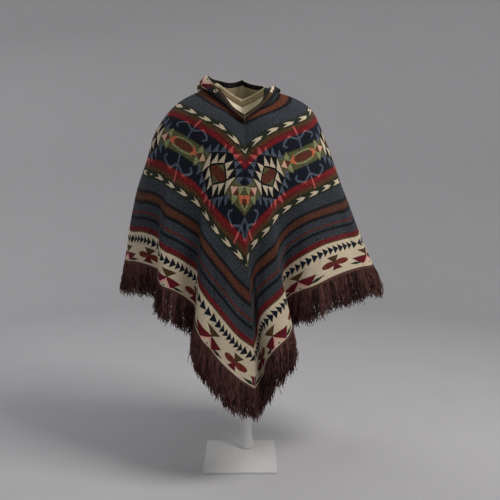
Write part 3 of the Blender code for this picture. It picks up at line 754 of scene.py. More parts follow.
def point_level(tree, name):
    """A point attribute as a level."""
    node = tree.nodes.new("ShaderNodeAttribute")
    node.attribute_name = name
    return Level(tree, node.outputs["Fac"])


def mirrored(x, width):
    """Level of |x| - width: a band about x = 0."""
    return abs(x) - width


def all_of(levels):
    """Union of figures: the least of their levels."""
    first, *rest = levels
    for level in rest:
        first = first.least(level)
    return first


def draw_field(tree, yarns, colour, a, y):
    """The patterned field: serrated diamonds and ringed ovals by turns on the middle line, hooks above and
    below the ovals. a is along the strip and y across it, in millimetres."""
    e = (a - OVAL_PLACE).folded(FIGURE_STEP)
    x = (e - FIGURE_STEP) * -1
    h = abs(y - FIELD_MIDDLE)
    by_diamond, by_oval = vector_of(tree, x, h), vector_of(tree, e, h)
    colour = blended(tree, (h - FIELD_HALF).below(), colour, ramp(tree, yarns, h, FIELD))
    in_red = (h * -1 + PINK_FROM).below()
    pale_figure = blended(tree, in_red, yarns.slate, yarns.pink)
    stem_middle, stem_half = (STEM[0] + STEM[1]) / 2, (STEM[1] - STEM[0]) / 2
    hooks = (e - HOOK_STROKE).most(mirrored(h - stem_middle, stem_half))
    hooks = all_of([hooks] + [stroke(tree, by_oval, p, q, HOOK_STROKE) for p, q in zip(HOOK, HOOK[1:])])
    colour = blended(tree, hooks.below(), colour, pale_figure)
    colour = blended(tree, inside(tree, by_diamond, GROUND).below(), colour, yarns.black)
    teeth = all_of([inside(tree, by_diamond, corners) for corners in OUTER_TEETH])
    colour = blended(tree, teeth.below(), colour, pale_figure)
    colour = blended(tree, inside(tree, by_diamond, SAGE_TOOTH).below(), colour, yarns.sage)
    teeth = all_of([inside(tree, by_diamond, corners) for corners in INNER_TEETH])
    colour = blended(tree, teeth.below(), colour, yarns.cream)
    colour = blended(tree, inside(tree, by_diamond, SMALL_TOOTH).below(), colour, yarns.peach)
    colour = blended(tree, inside(tree, by_diamond, WEDGE).below(), colour, yarns.rust)
    ring = ellipse(e, h, *OVAL_RING).most(ellipse(e, h, *OVAL_RING_INSIDE) * -1)
    colour = blended(tree, ring.below(), colour, yarns.sage)
    colour = blended(tree, inside(tree, by_oval, OVAL_END).below(), colour, yarns.orange)
    colour = blended(tree, ellipse(e, h, *OVAL).below(), colour, yarns.rust)
    centre = blended(tree, (h - DIAMOND_CORE).below(), yarns.olive, yarns.rust)
    return blended(tree, (x + h - DIAMOND).below(), colour, centre)


def draw_rows(tree, yarns, colour, a, y, turn):
    """Rows that point along the strip, both ways from the turning place: cream arrows beside the field and
    a chain of navy triangles below the cream band's edge."""
    s = abs(a - TURN_PLACE) * turn
    in_lower_row = (y * -1 + FIELD_MIDDLE).below()
    shift = (turn * ARROW_SHIFT[1] + ARROW_SHIFT[0]) * in_lower_row
    q = (s + shift + ARROW_START).wrapped(ARROW_PERIOD) - ARROW_TIP
    row = FIELD_MIDDLE - ARROW_LINE
    r = (y - (row - ARROW_MARGIN)).wrapped(2 * ARROW_LINE) - ARROW_MARGIN
    point = vector_of(tree, q, r)
    arrows = all_of([inside(tree, point, corners) for corners in ARROW])
    arrows = arrows.most(mirrored(y - FIELD_MIDDLE, ARROW_LINE + 20))
    colour = blended(tree, arrows.below(), colour, yarns.cream)
    taper = (s.wrapped(TRIANGLE_PITCH) - TRIANGLE_PITCH) * (TRIANGLE_HALF / TRIANGLE_PITCH)
    triangles = abs(y - TRIANGLE_LINE) + taper
    return blended(tree, triangles.below(), colour, yarns.hem_navy)


def draw_band(tree, yarns, colour, a, y):
    """Cream band: crosses with a chevron and four-petalled flowers by turns."""
    c = (a - CROSS_PLACE).folded(BAND_STEP)
    f = (c - BAND_STEP) * -1
    r = y - BAND_MIDDLE
    by_cross, by_flower = vector_of(tree, c, r), vector_of(tree, f, r)
    apex, slope, half_stroke, half_width = CHEVRON
    chevron = mirrored(r - apex - c * slope, half_stroke).most(c - half_width)
    petal_x, petal_y, half_long, half_short = PETAL
    for level, shade in (
        (inside(tree, by_cross, CROSS_BAR), yarns.moss),
        (inside(tree, by_cross, CROSS_WING), yarns.claret),
        (inside(tree, by_cross, ((-1, 2), (-1, 30), (20, 30))), yarns.cream),
        (inside(tree, by_cross, ((-1, 24), (-1, 30), (6, 30))), yarns.bark),
        (chevron, yarns.blush),
        (inside(tree, by_cross, CROSS_TOP), yarns.bark),
        (inside(tree, by_flower, FLOWER_FOOT), yarns.claret),
        (ellipse(f - petal_x, r - petal_y, half_long, half_short), yarns.brick),
        (inside(tree, by_flower, FLOWER_TOP), yarns.bark),
    ):
        colour = blended(tree, level.below(), colour, shade)
    return colour


def woven_pattern(yarns):
    """Node group: colour of the cloth from its flat coordinates, in metres along and across the strip. The
    edges of figures step by STITCH, as woven ones do. Turn is 1 or -1 and says which way the rows point."""
    tree, start, end = new_group(
        "woven_pattern",
        [("Flat", "NodeSocketVector"), ("Turn", "NodeSocketFloat")],
        [("Colour", "NodeSocketColor")],
    )
    a, y = parts_of(tree, start.outputs["Flat"], 1000.0)
    a, y = a.made("SNAP", STITCH), y.made("SNAP", STITCH)
    colour = ramp(tree, yarns, y, STRIPES)
    colour = draw_field(tree, yarns, colour, a, y)
    colour = draw_rows(tree, yarns, colour, a, y, Level(tree, start.outputs["Turn"]))
    band = draw_band(tree, yarns, yarns.cream, a, y)
    triangles_end = TRIANGLE_LINE + TRIANGLE_HALF
    colour = blended(tree, (y - triangles_end).below(), band, colour)
    tree.links.new(colour, end.inputs["Colour"])
    return tree


def brushed_wool():
    """Node group: heathering of the fibres, pale yarns less than dark ones, painted shade of the weave, and
    the height of the weave and of the brushed nap. Over and under threads are sin(along) sin(across) at
    WEAVE_PITCH; the colour is painted lighter where they rise and darker where they sink."""
    tree, start, end = new_group(
        "brushed_wool",
        [("Flat", "NodeSocketVector"), ("Colour", "NodeSocketColor"), ("Heather", "NodeSocketFloat")],
        [("Colour", "NodeSocketColor"), ("Height", "NodeSocketFloat"), ("Roughness", "NodeSocketFloat")],
    )
    flat, colour = start.outputs["Flat"], start.outputs["Colour"]
    fleck, patch, wear = (noise_level(tree, flat, *grain) for grain in WOOL_GRAIN)
    a, y = parts_of(tree, flat, 2 * pi / WEAVE_PITCH)
    threads = a.made("SINE") * y.made("SINE")
    grey = tree.nodes.new("ShaderNodeRGBToBW")
    tree.links.new(colour, grey.inputs[0])
    dark = (Level(tree, grey.outputs[0]) * -1.5 + 1.0).most(PALE_HEATHER)
    heather = dark * Level(tree, start.outputs["Heather"])
    # threads * 0.12 is painted shade of the weave's relief; the flecks, patches and wear are the wool's own
    # heathering
    light = (fleck * 1.6 + patch * 2.2 + threads * 0.12 + wear * 0.5) * heather + 1.0
    node = tree.nodes.new("ShaderNodeVectorMath")
    node.operation = "SCALE"
    tree.links.new(colour, node.inputs[0])
    tree.links.new(light.most(0.05).socket, node.inputs["Scale"])
    tree.links.new(node.outputs[0], end.inputs["Colour"])
    height = threads * 0.5 + fleck * 1.6 + patch * 1.2
    tree.links.new(height.socket, end.inputs["Height"])
    tree.links.new((fleck * 0.2 + 0.92).socket, end.inputs["Roughness"])
    return tree


def fresh_material(name):
    """An empty material, its nodes and its Principled shader."""
    forget(bpy.data.materials, name)
    material = bpy.data.materials.new(name)
    material.use_nodes = True
    return material, material.node_tree, material.node_tree.nodes["Principled BSDF"]


def placed(tree, group, **values):
    """A group node in a tree, with its inputs linked or set."""
    node = tree.nodes.new("ShaderNodeGroup")
    node.node_tree = bpy.data.node_groups[group]
    for label, value in values.items():
        if isinstance(value, bpy.types.NodeSocket):
            tree.links.new(value, node.inputs[label])
        else:
            node.inputs[label].default_value = value
    return node


def bumped(tree, height, shader, distance):
    """Height to the shader's normal."""
    bump = tree.nodes.new("ShaderNodeBump")
    bump.inputs["Distance"].default_value = distance
    tree.links.new(height, bump.inputs["Height"])
    tree.links.new(bump.outputs[0], shader.inputs["Normal"])


def wool_sheen(shader, weight):
    """Nap of wool: a soft light edge and no gloss."""
    shader.inputs["Sheen Weight"].default_value = weight
    shader.inputs["Sheen Roughness"].default_value = 0.55
    shader.inputs["Specular IOR Level"].default_value = 0.08


def reverse_of(tree, cloth, outside, lining):
    """Colours of the reverse, wherever the point attribute pale says so: the pattern with the lining's
    colour mixed in, and the lining's colour alone where the attribute facing says so."""
    reverse = blended(tree, cloth.reverse_pattern, lining, outside)
    reverse = blended(tree, point_level(tree, "facing"), reverse, lining)
    return blended(tree, point_level(tree, "pale"), outside, reverse)


def finish_wool(tree, shader, flat, colour, cloth):
    """Heather, weave, nap and sheen of the wool on a shader."""
    wool = placed(tree, "brushed_wool", Flat=flat, Colour=colour, Heather=cloth.heather)
    tree.links.new(wool.outputs["Colour"], shader.inputs["Base Color"])
    tree.links.new(wool.outputs["Roughness"], shader.inputs["Roughness"])
    bumped(tree, wool.outputs["Height"], shader, WOOL_RELIEF)
    wool_sheen(shader, cloth.sheen)


def cloth_material(name, turn, yarns, cloth):
    """Patterned wool of a half, with its paler reverse."""
    material, tree, shader = fresh_material(name)
    flat = cloth_uv(tree)
    pattern = placed(tree, "woven_pattern", Flat=flat, Turn=turn)
    colour = reverse_of(tree, cloth, pattern.outputs[0], yarns.reverse)
    finish_wool(tree, shader, flat, colour, cloth)
    return material


def hood_material(name, turn, yarns, cloth):
    """The cloth's own pattern with its cream band at the rim, a dark collar in front and a pale lining with
    a dark border."""
    material, tree, shader = fresh_material(name)
    flat = cloth_uv(tree)
    pattern = placed(tree, "woven_pattern", Flat=flat, Turn=turn)
    a, y = parts_of(tree, flat, 1000.0)
    to_rim = y * -1 + PANEL_WIDTH * 1000
    rim = yarns.bark if turn > 0 else blended(tree, (a - PALE_RIM).below(), yarns.bark, yarns.cream)
    collar = blended(tree, (to_rim - COLLAR_EDGE).below(), yarns.collar, rim)
    if turn > 0:
        ring = abs(ellipse(a - RING_PLACE, to_rim - RING_LINE, *RING)) - RING_STROKE
        collar = blended(tree, ring.below(), collar, yarns.cream)
    outside = blended(tree, point_level(tree, "collar"), pattern.outputs[0], collar)
    lining = blended(tree, (to_rim - RIM_BORDER).below(), yarns.reverse, yarns.collar)
    finish_wool(tree, shader, flat, reverse_of(tree, cloth, outside, lining), cloth)
    return material


def finish_yarn(tree, shader, colour, height, fluff, relief):
    """Colour, relief and matt fluff of yarn on a shader."""
    tree.links.new(colour, shader.inputs["Base Color"])
    tree.links.new((fluff * 0.2 + 0.9).socket, shader.inputs["Roughness"])
    bumped(tree, height.socket, shader, relief)
    wool_sheen(shader, YARN_SHEEN)


def yarn_material(name, colour, dark):
    """Plied yarn: painted shade in darker turns along the twist, where the plies sink, and each yarn's own
    tone in the attribute tone.
    """
    material, tree, shader = fresh_material(name)
    flat = cloth_uv(tree)
    round_it, along = parts_of(tree, flat, 1.0)
    ply = ((along * (1 / TWIST_LENGTH) + round_it) * (2 * pi)).made("SINE")
    fluff = noise_level(tree, flat, 240.0)
    # ply * 0.12 paints shade into the grooves between the plies; tone and fluff are the yarns' own
    shade = blended(tree, point_level(tree, "tone") + ply * 0.12 + fluff * 0.5, dark, colour)
    finish_yarn(tree, shader, shade, ply * 0.5 + fluff, fluff, 0.0004)
    return material


def heading_material(name, colour, dark):
    """Woven heading: yarns wrapped across it, side by side, with painted shade in the grooves between them.
    """
    material, tree, shader = fresh_material(name)
    flat = cloth_uv(tree)
    along, across = parts_of(tree, flat, 1.0)
    rib = abs((along * (pi / RIB_PITCH)).made("SINE"))
    weave = (across * (2 * pi / HEADING_WEAVE)).made("SINE")
    fluff = noise_level(tree, flat, 200.0)
    # rib and weave paint shade into the grooves between the wrapped yarns; the fluff is the yarns' own tone
    shade = blended(tree, rib * 0.7 + weave * 0.15 + fluff, dark, colour)
    finish_yarn(tree, shader, shade, rib + weave * 0.3 + fluff, fluff, 0.0006)
    return material


def plain_material(name, colour, roughness, grain, relief, weave=0.0):
    """Smooth jersey or paint on Object coordinates: a fine grain in colour, roughness and height, and the
    jersey's weave where its pitch is given."""
    material, tree, shader = fresh_material(name)
    place = tree.nodes.new("ShaderNodeTexCoord").outputs["Object"]
    fine, broad = noise_level(tree, place, grain, 4.0), noise_level(tree, place, BROAD_GRAIN)
    shade = [c * 0.86 for c in colour]
    mixed = blended(tree, fine * 0.5 + broad * 0.4 + 0.75, shade, colour)
    tree.links.new(mixed, shader.inputs["Base Color"])
    tree.links.new((fine * 0.15 + broad * 0.1 + roughness).socket, shader.inputs["Roughness"])
    height = fine
    if weave:
        parts = tree.nodes.new("ShaderNodeSeparateXYZ")
        tree.links.new(place, parts.inputs[0])
        around, up = (Level(tree, parts.outputs[k]) * (2 * pi / weave) for k in (0, 2))
        height = fine + around.made("SINE") * up.made("SINE") * 0.5
    bumped(tree, height.socket, shader, relief)
    return material


# Pieces

def lay_out(sign, places, widths):
    """Flat coordinates of a half in metres: along the strip from the side line towards the centre front,
    with the drift of the figures on the hem, and across the strip."""
    along = -along_strip(places, widths)
    columns = np.array(DRIFT).T
    hanging, drawn = columns[:2] if sign < 0 else columns[2:]
    shift = np.interp(along, hanging, drawn - hanging)
    across = widths + 0 * along
    if sign > 0:
        near_side = 1 - smooth_step(*RISE_FADE, along)
        across = across + RIGHT_RISE * smooth_step(*RISE_FROM, widths) * near_side
    return np.stack([along + shift * smooth_step(*DRIFT_FROM, widths), across], axis=-1)


def half_of_cloth(name, sign, material, cloth):
    """One half of the poncho: a wall inwards from its outer face."""
    places = np.linspace(-1, 1, HALF_COLUMNS)
    neck = neck_width(places)
    widths = neck + (PANEL_WIDTH - neck) * np.linspace(0, 1, HALF_ROWS)[:, None]
    outer, normals = half_grid(sign, places, widths, cloth.crease)
    points, faces = wall_between(outer, outer - normals * cloth.thickness, sign)
    flat = lay_out(sign, places, widths).reshape(-1, 2)
    outside = np.zeros(len(flat))
    facing = smooth_step(*PLAIN_REVERSE, widths + 0 * places).ravel()
    return make_piece(
        name, points, faces, material, np.concatenate([flat, flat]),
        {"pale": np.concatenate([outside, outside + 1]), "facing": np.concatenate([facing, facing])},
    )


def hood_sections(table, places):
    """Section of the hood at each place, as distances down the cloth and off it: from the seam over the
    neck edge, down to the bottom of the pouch and back up to its rim. The result is (rows, places, 2), with
    the distance run along the section at each row."""
    table = np.array(table)
    _, depth, full, rim_down, rim_off = along_line(table[:, 0], table, places).T
    zero = 0 * depth
    rise = full - HOOD_CREASE
    turn = [(down + zero, off + zero) for down, off in HOOD_TURN]
    knots = np.array([
        *turn,
        (0.0030 + 0.1 * depth, 0.9 * HOOD_LIFT + zero),
        (0.0040 + 0.55 * depth, HOOD_LIFT + 0.02 * depth),
        (0.0060 + depth, HOOD_CREASE + 0.03 * depth),
        (0.0080 + depth, HOOD_CREASE + 0.37 * rise),
        (0.0040 + 0.80 * depth, HOOD_CREASE + 0.80 * rise),
        (0.45 * depth + 0.55 * rim_down, full),
        (rim_down, rim_off),
    ]).transpose(0, 2, 1)
    run = run_of(knots)
    at = run[-1] * (np.linspace(0, 1, HOOD_ROWS) ** 1.2)[:, None]
    return cubic(run, knots, at), at


def hood_grid(sign, table, places):
    """Middle face of one half of the hood, and the distance of each point from the rim."""
    rings = RIGHT_RINGS if sign > 0 else LEFT_RINGS
    sections, run = hood_sections(table, places)
    down, off = sections[..., 0], sections[..., 1]
    start = neck_width(places)
    slant = np.cos(np.arctan(places * SEAM_SLOPE))
    widths = start + np.maximum(down, 0) * slant
    on_cloth = cloth_points(rings, places, widths)
    near = cloth_points(rings, places, start + np.array([[0.0], [0.012]]) * slant)
    above = unit(near[1] - near[0])
    neck_normal = -sign * unit(np.cross(unit(np.gradient(near[0], axis=0)), above))
    far = cloth_points(rings, places, widths + 0.01)
    local = -sign * unit(np.cross(unit(np.gradient(on_cloth, axis=1)), unit(far - on_cloth)))
    for normals in (neck_normal, local.transpose(1, 0, 2)):
        normals[[0, -1], ..., 0] = 0
        normals[:] = unit(normals)
    share = np.clip(down / BLEND_DEPTH, 0, 1)[..., None]
    normal = unit(neck_normal * (1 - share) + local * share)
    middle = on_cloth + np.minimum(down, 0)[..., None] * above + off[..., None] * normal
    return middle, run[-1] - run


def half_of_hood(name, sign, table, material, cloth):
    """One half of the hood, a wall on both sides of its middle face, with a few soft creases towards the
    pouch. They are low at the rim and fade to nothing at the seams."""
    places = np.linspace(-1, 1, HOOD_COLUMNS)
    middle, to_rim = hood_grid(sign, table, places)
    side = outward(sign, middle)
    side[:, [0, -1], 0] = 0
    side = unit(side)
    middle[:, [0, -1], 0] += sign * GAP
    wave = np.zeros_like(to_rim)
    for place, width, height in HOOD_CREASES:
        wave += height * np.exp(-(((places - place) / width) ** 2)) * smooth_step(*HOOD_CREASE_END, to_rim)
    wave *= smooth_step(0.0, HOOD_RIM, to_rim) * 0.6 + 0.4
    middle = middle + side * (wave * smooth_step(0, HOOD_SEAM_FADE, 1 - np.abs(places)))[..., None]
    half_wall = side * cloth.hood_thickness / 2
    points, faces = wall_between(middle + half_wall, middle - half_wall, sign)
    along = -along_strip(places, neck_width(places)) * HOOD_STRETCH
    flat = np.stack([along + 0 * to_rim, PANEL_WIDTH - to_rim], axis=-1).reshape(-1, 2)
    outside = np.zeros(len(flat))
    front, back = COLLAR_TO[sign]
    collar = (smooth_step(back, front, places) + 0 * to_rim).ravel()
    facing = outside + 1
    return make_piece(name, points, faces, material, np.concatenate([flat, flat]), {
        "pale": np.concatenate([1 - collar, outside]),
        "collar": np.concatenate([collar, collar]),
        "facing": np.concatenate([facing, facing]),
    })


def hem_frame(sign, places, cloth):
    """Hem of one half at the middle of its wall: points, and the directions down the cloth, outward and
    along the hem."""
    widths = np.array([[PANEL_WIDTH - 0.02], [PANEL_WIDTH - 0.01], [PANEL_WIDTH]]) + 0 * places
    grid, normals = half_grid(sign, places, widths, cloth.crease)
    down = unit(grid[2] - grid[1])
    edge = grid[2] - normals[2] * cloth.thickness / 2
    return edge, down, normals[2], unit(np.gradient(edge, axis=0))


def quarter_places(front, count):
    """Places of a quarter of the hem, from its seam or side to the other end."""
    return np.linspace(-1, 0, count) if front else np.linspace(0, 1, count)


def heading_of_fringe(name, sign, front, material, cloth):
    """Narrow woven heading below a quarter of the hem: a flat oval section carried along it. The oval is
    |across / half|^3 + |down / half|^3 = 1."""
    places = quarter_places(front, TAPE_COLUMNS)
    edge, down, normal, around = hem_frame(sign, places, cloth)
    edge[-1 if front else 0] += around[0] * (-GAP if front else GAP)
    turn = np.linspace(0, 2 * pi, 14, endpoint=False)[:, None, None]
    c, s = np.cos(turn), np.sin(turn)
    across = np.sign(c) * np.abs(c) ** (2 / 3) * TAPE_THICKNESS / 2
    middle, half = (TAPE_GAP + TAPE_WIDTH) / 2, (TAPE_WIDTH - TAPE_GAP) / 2
    below = middle + np.sign(s) * np.abs(s) ** (2 / 3) * half
    grid = edge + normal * across + down * below
    run = run_of(edge)
    flat = np.stack([run + 0 * below[..., 0], below[..., 0] + 0 * run], axis=-1)
    return stacked(name, grid.swapaxes(0, 1), material, flat.swapaxes(0, 1).reshape(-1, 2))


def yarns_of_fringe(name, sign, front, material, cloth, fringe, seed):
    """Yarns of a quarter of the fringe. A yarn's line is root + length (down t + (fall - down) pull t^2),
    plus the lean of its lock, plus sine waves that grow with t; in a lock the yarns draw together by the
    middle and open again at their ends. Each is a three-sided tube that narrows towards its end."""
    rng = np.random.default_rng(seed)
    count = fringe.yarns
    fine = quarter_places(front, 2001)
    edge, down, normal, around = hem_frame(sign, fine, cloth)
    run = run_of(edge)
    locks = count // LOCK_YARNS
    lock = np.minimum(np.arange(count) // LOCK_YARNS, locks - 1)
    at = (np.arange(count) + rng.uniform(0.1, 0.9, count)) / count * run[-1]
    at = np.clip(at, 0.002, run[-1] - 0.002)
    lock_at = np.bincount(lock, at) / np.bincount(lock)

    def read(rows, where):
        return np.stack([np.interp(where, run, rows[:, k]) for k in range(3)], axis=-1)

    side = unit(read(around, at))
    out = unit(read(normal, at))
    below = unit(read(down, at))
    depth = rng.uniform(-0.36, 0.36, count) * TAPE_THICKNESS
    root = read(edge, at) + below * (TAPE_WIDTH - ROOT_DEPTH) + out * depth[:, None]
    uneven = rng.uniform(-1, 1, locks)[lock] * 0.7 + rng.normal(0, 0.5, count)
    to_point = np.abs(np.interp(at, run, fine))
    steep = smooth_step(*POINT_FROM, to_point)
    share = 1 + POINT_LONGER * steep - TIP_SHORTER * smooth_step(*TIP_FROM, to_point)
    length = (fringe.length + fringe.spread * uneven) * share
    lean = rng.normal(0, LOCK_LEAN, locks)[lock] + rng.normal(0, YARN_LEAN, count)
    swing = rng.normal(SWING_IN, LOCK_SWING, locks)[lock] + rng.normal(0, YARN_SWING, count)
    t = np.linspace(0, 1, YARN_STEPS + 1)[:, None]
    fall = np.array([0.0, 0.0, -1.0])

    def spread(values):
        return values[..., None]

    pull = spread((LOCK_FALL + POINT_FALL * steep) * t**2)
    line = below * spread(t) + (fall - below) * pull
    line = line + side * spread(lean * t**1.3) + out * spread(swing * t**1.3)
    drawn = GATHER * smooth_step(0, GATHER_END, t) - OPENING * smooth_step(GATHER_END, 1, t)
    gather = (lock_at[lock] - at) * drawn
    wave = rng.uniform(0.6, 1.4, (4, count))
    phase = rng.uniform(0, 2 * pi, (4, count))
    bend = fringe.wave * 1.2 * t**0.8 * (np.sin(2 * pi * 1.1 * wave[0] * t + phase[0]) - np.sin(phase[0]))
    bend = bend + fringe.wave * 0.6 * t**0.6 * np.sin(2 * pi * 3.0 * wave[1] * t + phase[1])
    curl = fringe.wave * 0.8 * t * np.sin(2 * pi * 2.2 * wave[2] * t + phase[2])
    points = root + line * spread(length + 0 * t) + side * spread(gather + bend) + out * spread(curl)
    tangent = unit(np.gradient(points, axis=0))
    first = unit(np.cross(tangent, out + 0 * tangent))
    second = np.cross(tangent, first)
    thick = fringe.radius * (1.0 - YARN_TAPER * t) * rng.uniform(0.85, 1.15, count)
    turn = 2 * pi * np.arange(3)[:, None, None, None] / 3 + phase[3][:, None]
    tube = points + spread(thick) * (np.cos(turn) * first + np.sin(turn) * second)
    tube = tube.transpose(2, 1, 0, 3)
    steps = YARN_STEPS + 1
    index = np.arange(count * steps * 3).reshape(count, steps, 3)
    caps = np.concatenate([index[:, 0, ::-1], index[:, -1]])
    faces = ring_quads(index).tolist() + caps.tolist()
    flat = np.stack([
        np.broadcast_to(np.arange(3) / 3, (count, steps, 3)),
        np.broadcast_to((length * t).T[..., None], (count, steps, 3)),
    ], axis=-1)
    shade = rng.uniform(-0.10, 0.60, locks)[lock] + rng.uniform(-0.25, 0.60, count)
    return make_piece(
        name, tube.reshape(-1, 3), faces, material, flat.reshape(-1, 2),
        {"tone": np.repeat(shade, steps * 3)},
    )


def form_ring(places, widths, clearance):
    """A ring of the dress form that follows the inner face of the cloth, right half first."""
    ring = []
    for sign, rings, order in ((1, RIGHT_RINGS, places), (-1, LEFT_RINGS, places[::-1])):
        pair = cloth_points(rings, order, widths(order) + np.array([[0.0], [0.01]]))
        direction = 1 if order[0] < order[-1] else -1
        normal = -sign * direction * unit(np.cross(np.gradient(pair[0], axis=0), pair[1] - pair[0]))
        ring.append(pair[0] - normal * clearance)
    return np.concatenate(ring)


def form_grid():
    """Dress form: rings from the hollow top down to its flat bottom, joined by a cubic down each column."""
    half = FORM_SIDES // 2
    places = -1 + (np.arange(half) + 0.5) * 2 / half
    wall = CLOTH_THICKNESS + FORM_CLEARANCE
    loose = wall + FORM_EASE
    necks = form_ring(places, lambda p: neck_width(p) + FORM_NECK_DROP, loose)
    yoke = form_ring(places, lambda p: FORM_SHOULDER + 0 * p, wall)
    tips = form_ring(places, lambda p: FORM_TIP - FORM_TIP_RISE * (1 - np.abs(p)), loose)
    centre = np.array([*FORM_CENTRE, 0.0])
    dish = []
    for share, sink in FORM_DISH:
        ring = centre + (necks - centre) * [share, share, 0]
        front = necks[:, 2].min()
        ring[:, 2] = front + (necks[:, 2] - front) * share**2 - sink
        dish.append(ring)
    angle = np.arctan2(tips[:, 1] - FORM_CENTRE[1], tips[:, 0] - FORM_CENTRE[0])
    body = []
    for height, width, front, back, front_drop, back_drop in FORM_RINGS:
        depth = np.where(np.sin(angle) < 0, front, back)
        drop = np.where(np.sin(angle) < 0, front_drop, back_drop)
        x = FORM_CENTRE[0] + width * np.cos(angle)
        y = FORM_CENTRE[1] + depth * np.sin(angle)
        body.append(np.stack([x, y, height - drop * np.sin(angle) ** 2], axis=1))
    top = np.array([*dish, necks])
    shell = np.array([necks, yoke, tips, *body[:-1]])
    run = run_of(shell)
    at = run[-1] * np.linspace(0, 1, FORM_ROWS)[:, None]
    return np.concatenate([top[:-1], cubic(run, shell, at), body[-1:]])


def dress_form(name, material):
    """The form's rings closed by a point at the top and at the bottom."""
    grid = form_grid()
    rows, sides = grid.shape[:2]
    index = np.arange(rows * sides).reshape(rows, sides)
    after = np.roll(index, -1, axis=1)
    ends = np.full(sides, rows * sides)
    caps = np.concatenate([
        np.stack([after[0], ends, index[0]], axis=1), np.stack([index[-1], ends + 1, after[-1]], axis=1),
    ])
    faces = ring_quads(index)[:, [0, 3, 2, 1]].tolist() + caps.tolist()
    middles = [(*FORM_CENTRE, grid[0, :, 2].min() - 0.001), (*FORM_CENTRE, FORM_BOTTOM)]
    return make_piece(name, np.concatenate([grid.reshape(-1, 3), middles]), faces, material)


def turned(name, profile, steps, material):
    """Closed turned piece on the z axis, from profile rows of radius and height, top first."""
    profile = np.array(profile)
    angle = 2 * pi * np.arange(steps) / steps
    ring = np.stack([np.cos(angle), np.sin(angle)], axis=-1)
    points = np.concatenate([
        profile[:, None, :1] * ring, np.broadcast_to(profile[:, None, 1:], (len(profile), steps, 1)),
    ], axis=-1)
    return stacked(name, points, material)


def stand_pole(material):
    """Pole that widens along a quarter sine into its foot, whose bottom edge is eased."""
    bottom, top = PLATE_THICKNESS + GAP, FORM_BOTTOM - GAP
    share = np.linspace(1, 0, 24)
    radius = POLE_RADIUS + (FOOT_RADIUS - POLE_RADIUS) * (1 - np.sin(share * pi / 2))
    height = bottom + FOOT_EDGE + FOOT_HEIGHT * share
    turn = np.linspace(0, pi / 2, 5)
    inset, rise = FOOT_EASING * (1 - np.cos(turn)), FOOT_EASING * (1 - np.sin(turn))
    column = np.linspace(top, height[0], 12)[:-1]
    profile = np.concatenate([
        np.stack([POLE_RADIUS + 0 * column, column], axis=1),
        np.stack([radius, height], axis=1),
        np.stack([FOOT_RADIUS - inset, bottom + rise], axis=1),
    ])
    return turned("pole_paint", profile, 72, material)


def stand_plate(material):
    """Square plate: a rounded square carried down a section with eased edges."""
    corner = np.linspace(0, pi / 2, 9)
    angle = np.concatenate([corner + k * pi / 2 for k in range(4)])
    heart = PLATE_SIDE / 2 - PLATE_CORNER
    quadrant = np.repeat([(1, 1), (-1, 1), (-1, -1), (1, -1)], len(corner), axis=0)
    ease = np.linspace(0, pi / 2, 5)
    inset = PLATE_BEVEL * (1 - np.sin(ease))
    rise = PLATE_BEVEL * (1 - np.cos(ease))
    inset = np.concatenate([inset, inset[::-1]])[:, None]
    height = np.concatenate([PLATE_THICKNESS - rise, rise[::-1]])[:, None]
    reach = PLATE_CORNER - inset
    points = np.stack([
        PLATE_CENTRE[0] + heart * quadrant[:, 0] + reach * np.cos(angle),
        PLATE_CENTRE[1] + heart * quadrant[:, 1] + reach * np.sin(angle),
        height + 0 * angle,
    ], axis=-1)
    return stacked("plate_paint", points, material)


# Studio

def backdrop(material):
    """Floor that curves up into a wall all round: a straight line, a quarter circle and a straight line,
    turned about the z axis."""
    flat, bend, top, sides = 2.5, 1.0, 4.2, 96
    turn = np.linspace(0, pi / 2, 24)
    radius = np.concatenate([[0.02, 1.2], flat + bend * np.sin(turn), [flat + bend]])
    height = np.concatenate([[0.0, 0.0], bend - bend * np.cos(turn), [top]])
    angle = np.linspace(0, 2 * pi, sides + 1)
    points = np.stack([
        radius[:, None] * np.cos(angle), radius[:, None] * np.sin(angle), height[:, None] + 0 * angle,
    ], axis=-1)
    faces = grid_quads(len(radius), sides + 1)[:, ::-1].tolist()
    piece = make_piece("backdrop", points.reshape(-1, 3), faces, material)
    return piece


def area_light(name, place, target, size, power, colour=(1, 1, 1)):
    """Square light that looks at a target."""
    lamp = bpy.data.lights.new(name, "AREA")
    lamp.shape, lamp.size = "SQUARE", size
    lamp.energy, lamp.color = power, colour
    light = add_object(name, lamp)
    light.location = place
    light.rotation_euler = (Vector(target) - Vector(place)).to_track_quat("-Z", "Y").to_euler()
    return light


def studio_camera():
    """Camera at the height and tilt that the photographed plate and hem show."""
    lens = bpy.data.cameras.new("camera")
    lens.sensor_width, lens.lens = 36.0, 36.0 * CAMERA_FOCUS
    camera = add_object("camera", lens)
    camera.location = CAMERA_PLACE
    camera.rotation_euler = (radians(90 - CAMERA_TILT), 0, 0)
    bpy.context.scene.camera = camera
    return camera


# Settings

def yarn(label, shade):
    """A yarn's colour as a setting, from an sRGB colour."""
    return FloatVectorProperty(
        name=label, description=f"Colour of the {label.lower()}", subtype="COLOR", size=3,
        min=0.0, max=1.0, default=tone(shade),
    )


def metres(label, text, value, most):
    """A length setting."""
    return FloatProperty(
        name=label, description=text, default=value, min=0.0, max=most, unit="LENGTH", precision=4,
    )


def amount(label, text, value, most=1.0):
    """A plain number setting."""
    return FloatProperty(name=label, description=text, default=value, min=0.0, max=most)


def power(label, value):
    """A light's power."""
    return FloatProperty(
        name=label, description=f"Power of the {label.lower()}", default=value, min=0.0, unit="POWER",
    )


